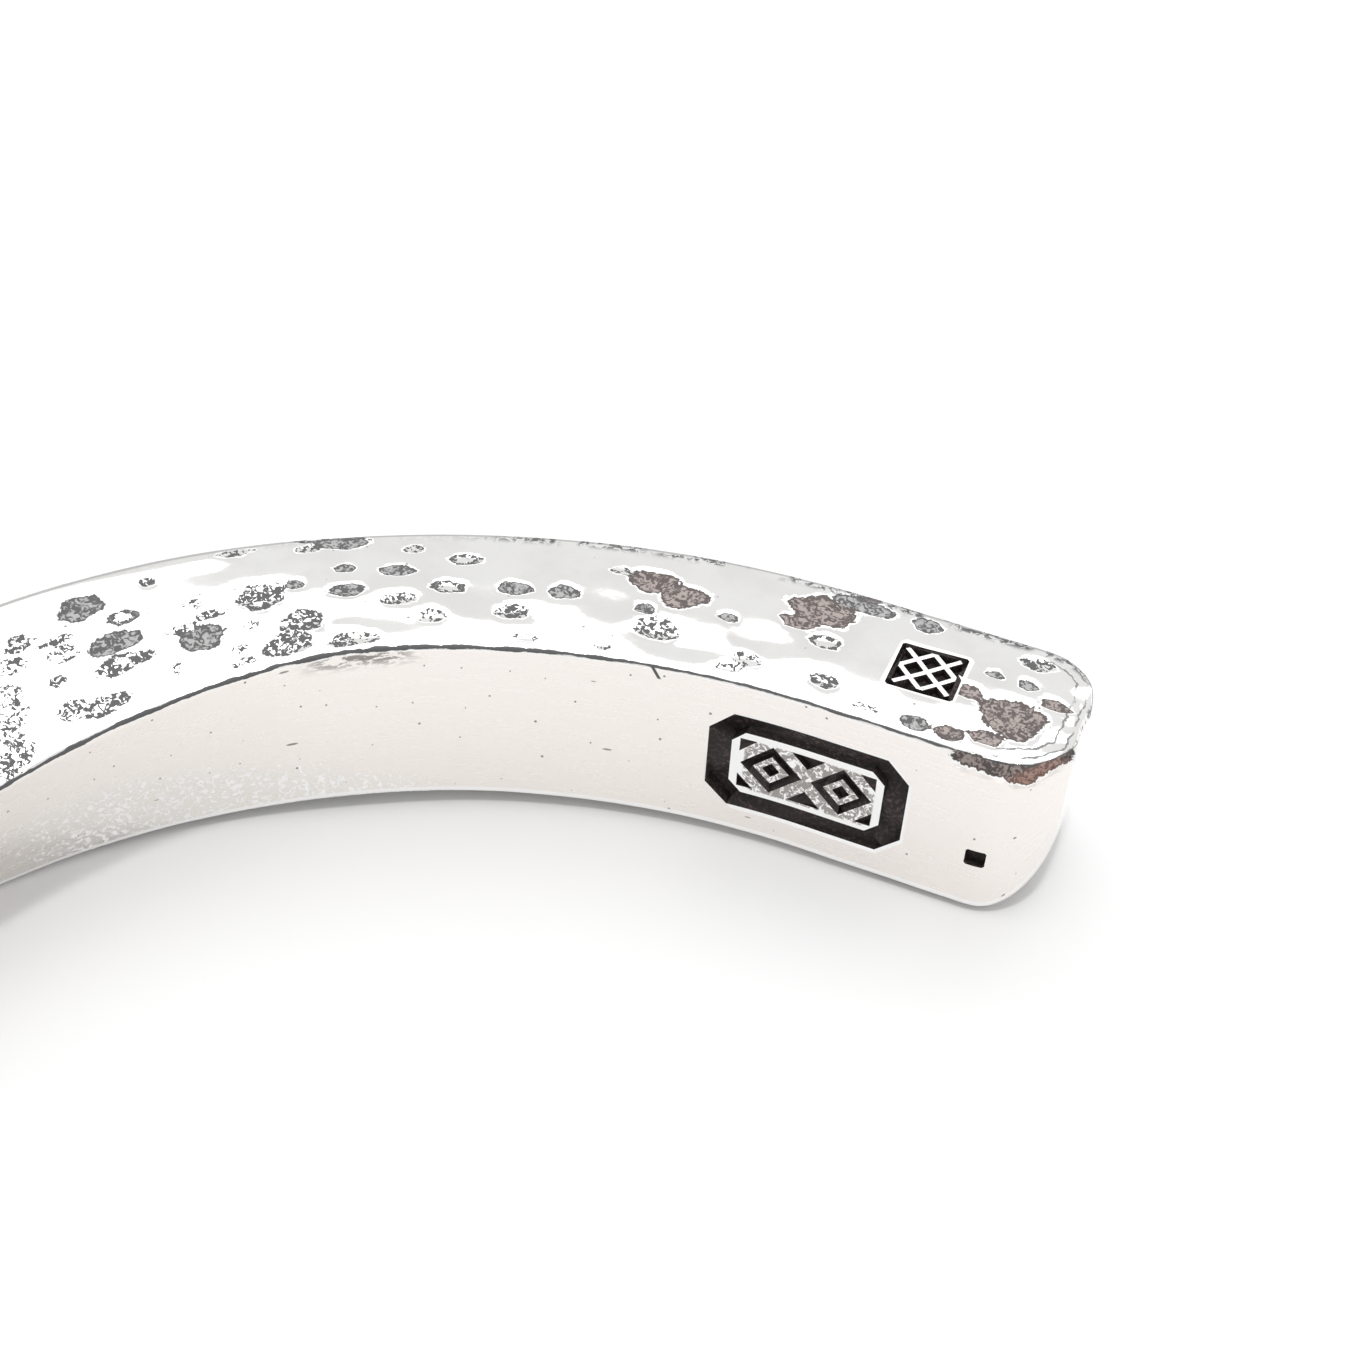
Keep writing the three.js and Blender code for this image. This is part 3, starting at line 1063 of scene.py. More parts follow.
@dataclass(frozen=True)
class Cartouche:
    """The smooth face's mark: a sunk border round a raised field, with sunk lozenges and small triangles."""

    along: float = 7.35 * MM
    height: float = -0.08 * MM
    length: float = 6.2 * MM
    width: float = 3.7 * MM
    cut: float = 0.72 * MM
    depth: float = 0.35 * MM
    field_length: float = 4.7 * MM
    field_width: float = 2.4 * MM
    field_cut: float = 0.4 * MM
    field_depth: float = 0.25 * MM
    pitch: float = 2.2 * MM
    half: Point = (0.98 * MM, 0.95 * MM)
    line: float = 0.31 * MM
    heart: float = 0.3 * MM
    dart_base: float = 0.55 * MM
    dart_height: float = 0.55 * MM
    margin: float = 0.22 * MM

    def darts(self) -> list[list[Point]]:
        """The small triangles between the lozenges.

        Returns:
            Whole ones in the middle and halves at the field's corners, all anticlockwise.
        """
        top, end = self.field_width / 2 - self.margin, self.field_length / 2 - self.margin
        triangles = []
        for side in (1, -1):
            foot, point = side * top, side * (top - self.dart_height)
            triangles.append([(-self.dart_base, foot), (self.dart_base, foot), (0.0, point)])
            for x in (end, -end):
                triangles.append([(x, foot), (x - math.copysign(self.dart_base, x), foot), (x, point)])
        return [corners if area(corners) > 0 else corners[::-1] for corners in triangles]

    def punches(self) -> list[Punch]:
        """Makes the punches.

        Returns:
            The mark's punches as one set.
        """
        punch = Punch("cartouche_punch", Side.SMOOTH, self.along, self.height)
        inside = cut_rectangle(self.field_length, self.field_width, self.field_cut)
        punch.frame_prism(cut_rectangle(self.length, self.width, self.cut), inside, self.depth)
        slim = self.line * math.sqrt(2)
        for middle in ((-self.pitch / 2, 0.0), (self.pitch / 2, 0.0)):
            inner = lozenge(middle, self.half[0] - slim, self.half[1] - slim)
            punch.frame_prism(lozenge(middle, *self.half), inner, self.field_depth)
            punch.prism(lozenge(middle, self.heart, self.heart), self.field_depth)
        for dart in self.darts():
            punch.prism(dart, self.field_depth)
        return [punch]


@dataclass(frozen=True)
class Seal:
    """The top face's small mark: a sunk square with a raised diagonal lattice inside a sunk border."""

    along: float = 4.85 * MM
    offset: float = 0.1 * MM
    side: float = 2.05 * MM
    border: float = 0.16 * MM
    lean: float = math.radians(2)
    depth: float = 0.22 * MM
    bars: int = 3
    bar: float = 0.15 * MM
    pitch: float = 0.6 * MM
    overlap: float = 0.02 * MM
    least: float = 0.08 * MM

    def punches(self) -> list[Punch]:
        """Makes the punches.

        Returns:
            The border's punch and the punch with the lattice's openings.
        """
        place = (Side.TOP, self.along, self.offset, self.lean)
        rim = Punch("seal_border_punch", *place, draft=0.0)
        openings = Punch("seal_lattice_punch", *place, draft=0.0)
        inside = self.side - 2 * self.border
        outer = cut_rectangle(self.side, self.side, self.border / 2)
        rim.frame_prism(outer, cut_rectangle(inside, inside, self.border / 2), self.depth)
        reach = (self.pitch - self.bar) / math.sqrt(2)
        places = [(number + 0.5) * self.pitch for number in range(-self.bars, self.bars)]
        for across in places:
            for along in places:
                middle = ((along - across) / math.sqrt(2), (along + across) / math.sqrt(2))
                cell = clip_to_square(lozenge(middle, reach, reach), inside / 2 + self.overlap)
                if len(cell) > 2 and area(cell) > self.least**2:
                    openings.prism(cell, self.depth)
        return [rim, openings]


@dataclass(frozen=True)
class SquareDot:
    """The tiny square pit near the tip of the smooth face."""

    along: float = 1.95 * MM
    height: float = -0.95 * MM
    side: float = 0.65 * MM
    cut: float = 0.06 * MM
    depth: float = 0.35 * MM

    def punches(self) -> list[Punch]:
        """Makes the punch.

        Returns:
            The pit's punch.
        """
        punch = Punch("square_dot_punch", Side.SMOOTH, self.along, self.height)
        punch.prism(cut_rectangle(self.side, self.side, self.cut), self.depth)
        return [punch]


# ---------------------------------------------------------------- finishes


class MaterialGraph(Graph):
    """The graph of a new material, with the object's coordinates."""

    def __init__(self, name: str) -> None:
        """Makes the material.

        Args:
            name: its name.
        """
        self.material = bpy.data.materials.new(name)
        self.material.use_nodes = True
        super().__init__(self.material.node_tree)
        self.place = self.wire("ShaderNodeTexCoord", output="Object")

    def dress(self, looks: dict, height: Wire, relief: Point) -> bpy.types.Material:
        """Feeds the material's shader.

        Args:
            looks: what its inputs get, by name.
            height: the fine relief.
            relief: how strong and how deep the relief is.

        Returns:
            The material.
        """
        strength, depth = relief
        normal = self.wire("ShaderNodeBump", {"Strength": strength, "Distance": depth, "Height": height})
        shader = self.tree.nodes["Principled BSDF"]
        for name, value in {**looks, "Normal": normal}.items():
            self.feed(shader.inputs[name], value)
        return self.material


class SkinGraph(MaterialGraph):
    """The graph of a silver finish, with the distances along the bar and round it from the ridge."""

    def __init__(self, name: str) -> None:
        """Makes the material under its name."""
        super().__init__(name)
        self.along, self.round, _ = self.split(self.wire("ShaderNodeUVMap", uv_map="skin"))

    def drawn(self, stretch: float) -> Wire:
        """The skin's coordinates, shrunk lengthwise, so that a pattern on them is drawn out."""
        return self.combine(self.along * stretch, self.round)

    def attribute(self, name: str) -> Wire:
        """An attribute of the bar."""
        return self.wire("ShaderNodeAttribute", output="Fac", attribute_name=name)


@dataclass(frozen=True)
class Oxide:
    """The dark oxide in the pits: strokes and specks inside a ragged outline, ringed by a painted highlight.
    """

    ragged: Cloud = Cloud(0.24 * MM, 2.0, 0.6, 0.6)
    raggedness: float = 0.4
    rim: Fade = Fade(0.23, 0.27)
    # Where round a pit the painted highlight lies: a white ring in the colour that stands in for light.
    inside: Fade = Fade(0.32, 0.35)
    outline: Fade = Fade(0.38, 0.45, 1.0, 0.0)
    strokes: Cloud = Cloud(0.17 * MM, 2.0, 0.55, 1.0)
    half_dense: float = 0.5
    density: float = 0.6
    covered: Fade = Fade(0.48, 0.52)
    solid: Fade = Fade(0.6, 0.85)
    faint: Fade = Fade(0.02, 0.2)
    tone: Fade = Fade(0.44, 0.58)
    grey: tuple[Colour, Colour] = ((0.085, 0.085, 0.087, 1), (0.4, 0.4, 0.4, 1))
    brown: tuple[Colour, Colour] = ((0.09, 0.072, 0.068, 1), (0.35, 0.29, 0.27, 1))
    rust: tuple[Colour, Colour] = ((0.17, 0.1, 0.08, 1), (0.42, 0.27, 0.23, 1))
    rusty: Fade = Fade(1.0, 1.5)

    def group(self) -> bpy.types.NodeTree:
        """Makes the shader node group.

        Returns:
            The group, which gives the oxide's mask, its painted highlight, colour and height.
        """
        numbers = {"Pit": ("Float", 0.0), "Dark": ("Float", 1.0), "Brown": ("Float", 0.0)}
        inputs = {"Place": ("Vector", None), **numbers}
        outputs = {"Mask": "Float", "Rim": "Float", "Color": "Color", "Height": "Float"}
        g, given = new_group("oxide", "ShaderNodeTree", inputs, outputs)
        place, dark, brownness = given["Place"], given["Dark"], given["Brown"]
        pit = given["Pit"] + g.sway(place, self.ragged) * self.raggedness
        inside = pit.fade(self.inside)
        # Painted highlight: a white ring just outside the oxide.
        rim = pit.fade(self.rim) * (1.0 - inside)
        strokes = g.noise(place, self.strokes)
        solid = dark.fade(self.solid)
        covered = (strokes + (dark - self.half_dense) * self.density).fade(self.covered) | solid
        mask = inside * (covered * dark.fade(self.faint))
        tone = g.math("SUBTRACT", strokes.fade(self.tone) * solid, pit.fade(self.outline), clamp=True)
        grey, brown, rust = (g.coat(deep, (tone, pale)) for deep, pale in (self.grey, self.brown, self.rust))
        colour = g.coat(grey, (brownness, brown), (brownness.fade(self.rusty), rust))
        g.node("NodeGroupOutput", {"Mask": mask, "Rim": rim, "Color": colour, "Height": strokes})
        return g.tree


def plate_group() -> bpy.types.NodeTree:
    """How far a place on the skin is from the outline of a rectangle with its corners cut off.

    Returns:
        The shader node group. Its distance is below 0 inside the outline.
    """
    names = ("Along", "Round", "Middle Along", "Middle Round", "Half Length", "Half Width", "Cut")
    inputs = {name: ("Float", 0.0) for name in names}
    g, given = new_group("plate_distance", "ShaderNodeTree", inputs, {"Distance": "Float"})
    x = abs(given["Along"] - given["Middle Along"]) - given["Half Length"]
    y = abs(given["Round"] - given["Middle Round"]) - given["Half Width"]
    g.node("NodeGroupOutput", {"Distance": x | y | (x + y + given["Cut"]) / math.sqrt(2)})
    return g.tree


@dataclass(frozen=True)
class Specks:
    """Tiny dark marks far apart, at most one to a cell. Their radii are shares of the cells' spacing."""

    spacing: float
    smallest: float
    largest: float
    edge: Fade
    empty_cells: float
    strength: float
    stretch: float = 1.0

    def draw(self, g: SkinGraph) -> Wire:
        """Scatters the marks on the skin.

        Args:
            g: the finish's graph.

        Returns:
            How dark they are.
        """
        away, chance, wide, _ = g.cells(g.drawn(self.stretch), self.spacing, flat=True)
        radius = wide.fade(Fade(0.0, 1.0, self.smallest, self.largest), smooth=False)
        mark = (away - radius).fade(self.edge)
        return mark * chance.above(self.empty_cells) * self.strength


@dataclass(frozen=True)
class SilverWear:
    """What both silver finishes share: the oxide, the ridge's dark line and the marks' painted white
    highlights.
    """

    oxide: bpy.types.NodeTree
    plate: bpy.types.NodeTree
    length: float
    rounded_tip: float = 0.7 * MM
    dull: float = 0.6
    line_sway: Cloud = Cloud(0.8 * MM, 4.0, 0.6)
    line_reach: float = 0.17 * MM
    unevenness: Cloud = Cloud(0.7 * MM, 4.0, 0.6)
    uneven: Fade = Fade(0.35, 0.65, 0.65, 1.5)
    line_width: Fade = Fade(12 * MM, 18 * MM, 0.035 * MM, 0.0675 * MM)
    line_edge: Fade = Fade(0.0, 0.03 * MM, 1.0, 0.0)
    nick: Point = (12.8 * MM, -0.25 * MM)
    nick_slant: float = 0.6
    nick_width: Fade = Fade(0.04 * MM, 0.08 * MM, 1.0, 0.0)
    nick_length: Fade = Fade(0.2 * MM, 0.25 * MM, 1.0, 0.0)
    line: Colour = (0.085, 0.085, 0.088, 1)
    # The white of the painted highlights: rings round pits, the marks' edges, glints and the smooth face's
    # lower edge.
    rim: Colour = (0.97, 0.97, 0.965, 1)

    def pits(self, g: SkinGraph) -> dict[str, Wire]:
        """The oxide in the bar's pits.

        Args:
            g: the finish's graph.

        Returns:
            The oxide group's outputs, by name.
        """
        inputs = {name: g.attribute(name.lower()) for name in ("Pit", "Dark", "Brown")}
        group = g.node("ShaderNodeGroup", {"Place": g.place, **inputs}, node_tree=self.oxide)
        return {output.name: Wire(g, output) for output in group.outputs}

    def clear_of_tips(self, g: SkinGraph, margin: float = 0.0) -> Wire:
        """Where lines and fine marks may lie: not on the end faces, nor within a margin of the tips."""
        return (g.along & (self.length - g.along)).above(margin)

    def ridge(self, g: SkinGraph) -> Wire:
        """The dark line that runs along the ridge, wavy and jagged, heavier past the marks, with one nick.

        Args:
            g: the finish's graph.

        Returns:
            How dark the line is.
        """
        away = abs(g.round + g.sway(g.place, self.line_sway) * self.line_reach)
        uneven = g.noise(g.place, self.unevenness).fade(self.uneven)
        line = (away - uneven * g.along.fade(self.line_width)).fade(self.line_edge)
        from_tip, below = self.nick
        slant = g.along - from_tip - g.round * self.nick_slant
        nick = abs(slant).fade(self.nick_width) * abs(g.round - below).fade(self.nick_length)
        return line | nick

    def plate_distance(self, g: SkinGraph, *sizes: float) -> Wire:
        """The distance from an outline, given by its middle, its half length and width, and its cut."""
        return g.wire("ShaderNodeGroup", dict(enumerate((g.along, g.round, *sizes))), node_tree=self.plate)


@dataclass(frozen=True)
class HammeredSilver:
    """Bright hammered silver with dark oxide in its pits and along its edges, and painted white highlights.
    """

    name: str = "hammered_silver"
    metal: Colour = (0.95, 0.945, 0.935, 1)
    clouded: Colour = (0.89, 0.88, 0.865, 1)
    clouds: Cloud = Cloud(2.2 * MM, 4.0, 0.6)
    cloudy: Fade = Fade(0.35, 0.65)
    sheens: Cloud = Cloud(2.5 * MM, 3.0)
    sheen: Fade = Fade(0.3, 0.7, 0.049, 0.098)
    seal_edge: Fade = Fade(0.08 * MM, 0.13 * MM, 1.0, 0.0)
    ripples: Cloud = Cloud(0.9 * MM)
    ripple_height: float = 0.5
    stroke_height: float = 0.5
    relief: Point = (0.4, 0.03 * MM)
    outer_edge: float = 5.36 * MM
    edge_line: Fade = Fade(0.04 * MM, 0.1 * MM, 0.6, 0.0)
    fleck_band: Fade = Fade(0.15 * MM, 0.5 * MM, 1.0, 0.0)
    flecks: Cloud = Cloud(0.26 * MM, 4.0, 0.7, 0.8)
    fleck: Fade = Fade(0.47, 0.52)
    fleck_patches: Cloud = Cloud(1.6 * MM)
    fleck_patch: Fade = Fade(0.36, 0.46)
    flecked_length: Fade = Fade(17 * MM, 20 * MM, 1.0, 0.25)
    folds: Point = (0.28 * MM, 0.62 * MM)
    fold_strength: float = 0.85
    fold_width: Fade = Fade(0.02 * MM, 0.055 * MM, 1.0, 0.0)
    fold_sway: Cloud = Cloud(0.55 * MM, 4.0, 0.6)
    fold_reach: float = 0.5 * MM
    fold_breaks: Cloud = Cloud(0.8 * MM)
    fold_break: Fade = Fade(0.38, 0.5)
    tip_edge: Fade = Fade(0.02 * MM, 0.1 * MM, 1.0, 0.0)
    tip_flecks: Cloud = Cloud(0.25 * MM, 3.0, 0.7)
    tip_fleck: Fade = Fade(0.5, 0.55)
    specks: Specks = Specks(1.3 * MM, 0.0, 0.045, Fade(-0.01, 0.0, 1.0, 0.0), 0.5, 0.7)

    def build(self, wear: SilverWear, seal: Seal) -> bpy.types.Material:
        """Makes the material.

        Args:
            wear: what the silver finishes share.
            seal: the small mark's sizes.

        Returns:
            The material.
        """
        g = SkinGraph(self.name)
        pits = wear.pits(g)
        middle = (seal.along, StraightBlank.inner_side + seal.offset)
        from_seal = wear.plate_distance(g, *middle, seal.side / 2, seal.side / 2, seal.border / 2)
        # Painted highlights: white rings round the pits, and white over the seal and just round its edge.
        rim = pits["Rim"] | from_seal.fade(self.seal_edge)
        specks = self.specks.draw(g) * wear.clear_of_tips(g, wear.rounded_tip)
        line = wear.ridge(g) | self.edge(g) | self.burr(g) * self.fold_strength | specks
        line = line * wear.clear_of_tips(g)
        cloudy = g.noise(g.place, self.clouds).fade(self.cloudy)
        coats = ((cloudy, self.clouded), (rim, wear.rim), (pits["Mask"], pits["Color"]), (line, wear.line))
        dull = pits["Mask"] | line
        sheen = g.noise(g.place, self.sheens).fade(self.sheen)
        looks = {
            "Base Color": g.coat(self.metal, *coats),
            "Metallic": g.mix(dull | rim, 1.0, 0.0),
            "Roughness": g.mix(dull, sheen, wear.dull),
        }
        strokes = pits["Height"] * pits["Mask"] * self.stroke_height
        height = g.noise(g.place, self.ripples) * self.ripple_height + strokes
        return g.dress(looks, height, self.relief)

    def edge(self, g: SkinGraph) -> Wire:
        """The grey line on the outer top edge, with dark flecks beside it near the marked tip.

        Args:
            g: the finish's graph.

        Returns:
            How dark the edge is.
        """
        away = abs(g.round - self.outer_edge)
        flecks = g.noise(g.place, self.flecks).fade(self.fleck) * away.fade(self.fleck_band)
        patches = g.noise(g.place, self.fleck_patches).fade(self.fleck_patch)
        return away.fade(self.edge_line) | flecks * patches * g.along.fade(self.flecked_length)

    def burr(self, g: SkinGraph) -> Wire:
        """The thin dark folds just inside the burred edge of the marked tip, and the flecks on that edge.

        Args:
            g: the finish's graph.

        Returns:
            How dark the folds are.
        """
        inside = g.attribute("tip_depth")
        wavy = inside + g.sway(g.place, self.fold_sway) * self.fold_reach
        broken = g.noise(g.place, self.fold_breaks).fade(self.fold_break)
        marks = inside.fade(self.tip_edge) * g.noise(g.place, self.tip_flecks).fade(self.tip_fleck)
        for depth in self.folds:
            marks = marks | abs(wavy - depth).fade(self.fold_width) * broken
        return marks


FINE_EDGE = Fade(-0.006, 0.006, 1.0, 0.0)


@dataclass(frozen=True)
class SatinSilver:
    """The smooth face: warm satin silver, brushed lengthwise, with scratches, dots, painted highlights and
    glints.
    """

    name: str = "satin_silver"
    metal: Colour = (0.93, 0.885, 0.85, 1)
    # Painted shade: the glint patch's ground is painted greyer between its flecks.
    frosted: Colour = (0.84, 0.825, 0.79, 1)
    frost: float = 0.6
    stain: Colour = (0.16, 0.14, 0.125, 1)
    brush: Cloud = Cloud(0.12 * MM, 3.0, 0.6)
    brush_stretch: float = 0.05
    brush_height: float = 0.5
    sheen: Fade = Fade(0.3, 0.7, 0.255, 0.36)
    relief: Point = (0.35, 0.02 * MM)
    hairlines: Cloud = Cloud(0.05 * MM, 1.0)
    hairline: Fade = Fade(0.8, 0.86, 0.0, 0.5)
    hairline_stretch: float = 0.1
    # The lip: a painted highlight, a white line along the smooth face's lower edge.
    lip: float = 5.76 * MM
    lip_edge: Fade = Fade(0.06 * MM, 0.1 * MM, 1.0, 0.0)
    dots: Specks = Specks(1.4 * MM, 0.034 / 3, 0.034, FINE_EDGE, 0.35, 0.8)
    scratches: Specks = Specks(1.1 * MM, 0.04 / 3, 0.04, FINE_EDGE, 0.72, 0.8, 0.22)
    tarnish_middle: float = 22.3 * MM
    tarnish_reach: Fade = Fade(0.8 * MM, 2.3 * MM, 1.0, 0.0)
    tarnish_top: Fade = Fade(0.05 * MM, 0.2 * MM)
    tarnish_bottom: Fade = Fade(0.3 * MM, 0.8 * MM, 1.0, 0.0)
    tarnish_strength: float = 0.8
    streaks: Cloud = Cloud(0.16 * MM, 4.0, 0.7, 0.6)
    streak: Fade = Fade(0.46, 0.54)
    streak_stretch: float = 0.3
    streak_slant: float = 0.03
    patch_border: Fade = Fade(19 * MM, 31 * MM, 5.7 * MM, 2.6 * MM)
    patch_top: Fade = Fade(-0.3 * MM, 0.8 * MM)
    patch_ends: tuple[Fade, Fade] = (Fade(16 * MM, 21 * MM), Fade(31 * MM, 36 * MM, 1.0, 0.0))
    patch_least: float = 0.05
    # Painted glints: white flecks in the colour that stand in for facets catching the light.
    sparkles: Cloud = Cloud(0.15 * MM, 1.0, 0.5, 0.6)
    sparkle_gain: float = 0.12
    sparkle: Fade = Fade(0.66, 0.7)
    ground_grain: Cloud = Cloud(0.2 * MM, 3.0, 0.7, 1.0)
    ground_oxide: Fade = Fade(0.42, 0.5, 0.0, 0.88)
    ground_edge: Fade = Fade(-0.24 * MM, -0.14 * MM, 1.0, 0.0)
    mark_edge: Fade = Fade(0.08 * MM, 0.12 * MM, 1.0, 0.0)

    def build(self, wear: SilverWear, mark: Cartouche) -> bpy.types.Material:
        """Makes the material.

        Args:
            wear: what the silver finishes share.
            mark: the cartouche's sizes.

        Returns:
            The material.
        """
        g = SkinGraph(self.name)
        pits = wear.pits(g)
        brush = g.noise(g.drawn(self.brush_stretch), self.brush)
        dot = (self.dots.draw(g) | self.scratches.draw(g)) * wear.clear_of_tips(g, wear.rounded_tip)
        hairline = g.noise(g.drawn(self.hairline_stretch), self.hairlines).fade(self.hairline)
        # Painted glints, and the patch of painted shade that they lie in.
        sparkle, patch = self.sparkling(g)
        ground, worn = self.mark_oxide_and_highlight(g, wear, mark)
        # Painted highlights in white: rings round pits, the mark's edge, the glints and the face's lower
        # edge.
        rim = pits["Rim"] | worn | sparkle | abs(g.round + self.lip).fade(self.lip_edge)
        stain = self.tarnish(g) * self.tarnish_strength | dot | hairline | ground
        line = wear.ridge(g)
        # The glint patch's ground is greyed as painted shade; painted highlights go on in white.
        coats = ((patch * self.frost, self.frosted), (stain, self.stain), (rim, wear.rim))
        colour = g.coat(self.metal, *coats, (pits["Mask"], pits["Color"]), (line, wear.line))
        dull = pits["Mask"] | line | stain | rim
        roughness = g.mix(dull, brush.fade(self.sheen), wear.dull)
        looks = {"Base Color": colour, "Metallic": g.mix(dull, 1.0, 0.0), "Roughness": roughness}
        height = brush * self.brush_height + sparkle - (dot | pits["Mask"])
        return g.dress(looks, height, self.relief)

    def tarnish(self, g: SkinGraph) -> Wire:
        """A streak of tarnish just under the ridge where the twist begins.

        Args:
            g: the finish's graph.

        Returns:
            How stained the metal is.
        """
        lengthwise = g.combine(g.along * self.streak_stretch, g.round + g.along * self.streak_slant)
        streaks = g.noise(lengthwise, self.streaks).fade(self.streak)
        reach = abs(g.along - self.tarnish_middle).fade(self.tarnish_reach)
        return reach * (-g.round).fade(self.tarnish_top) * (-g.round).fade(self.tarnish_bottom) * streaks

    def sparkling(self, g: SkinGraph) -> tuple[Wire, Wire]:
        """Painted glints: bright white flecks on the lower part of the face where the twist begins.

        Args:
            g: the finish's graph.

        Returns:
            The painted glints, and the patch that they lie in.
        """
        border = g.along.fade(self.patch_border, smooth=False)
        start, end = self.patch_ends
        patch = (-g.round - border).fade(self.patch_top) * (g.along.fade(start) * g.along.fade(end))
        flecks = (g.noise(g.place, self.sparkles) + patch * self.sparkle_gain).fade(self.sparkle)
        return flecks * patch.above(self.patch_least), patch

    def mark_oxide_and_highlight(self, g: SkinGraph, wear: SilverWear, mark: Cartouche) -> tuple[Wire, Wire]:
        """The oxide on the raised field's ground, and the mark's edges: rubbed by wear, painted white as a
        highlight.

        Args:
            g: the finish's graph.
            wear: what the silver finishes share.
            mark: the cartouche's sizes.

        Returns:
            The oxide and the painted highlight on the rubbed edge.
        """
        middle = (mark.along, mark.height - StraightBlank.height / 2)
        outer = wear.plate_distance(g, *middle, mark.length / 2, mark.width / 2, mark.cut)
        inner = wear.plate_distance(g, *middle, mark.field_length / 2, mark.field_width / 2, mark.field_cut)
        ground = inner.fade(self.ground_edge) * g.noise(g.place, self.ground_grain).fade(self.ground_oxide)
        # The mark's rubbed edge is painted white: a painted highlight round it.
        return ground, outer.fade(self.mark_edge) * (1.0 - ground)


@dataclass(frozen=True)
class OxidisedRecess:
    """The floor and walls of a punched mark: near-black oxide, a little brown."""

    name: str = "oxidised_recess"
    dark: Colour = (0.024, 0.019, 0.019, 1)
    worn: Colour = (0.13, 0.095, 0.085, 1)
    grain: Cloud = Cloud(0.12 * MM, 3.0, 0.65)
    worn_grain: Fade = Fade(0.45, 0.75)
    patches: Cloud = Cloud(1.1 * MM)
    patch: Fade = Fade(0.4, 0.75, 0.35, 1.0)
    roughness: float = 0.6
    gloss: float = 0.2
    relief: Point = (0.5, 0.02 * MM)

    def build(self) -> bpy.types.Material:
        """Makes the material.

        Returns:
            The material.
        """
        g = MaterialGraph(self.name)
        grain = g.noise(g.place, self.grain)
        worn = grain.fade(self.worn_grain) * g.noise(g.place, self.patches).fade(self.patch)
        looks = {
            "Base Color": g.coat(self.dark, (worn, self.worn)),
            "Metallic": 0.0,
            "Specular IOR Level": self.gloss,
            "Roughness": self.roughness,
        }
        return g.dress(looks, grain, self.relief)


# ---------------------------------------------------------------- the bangle


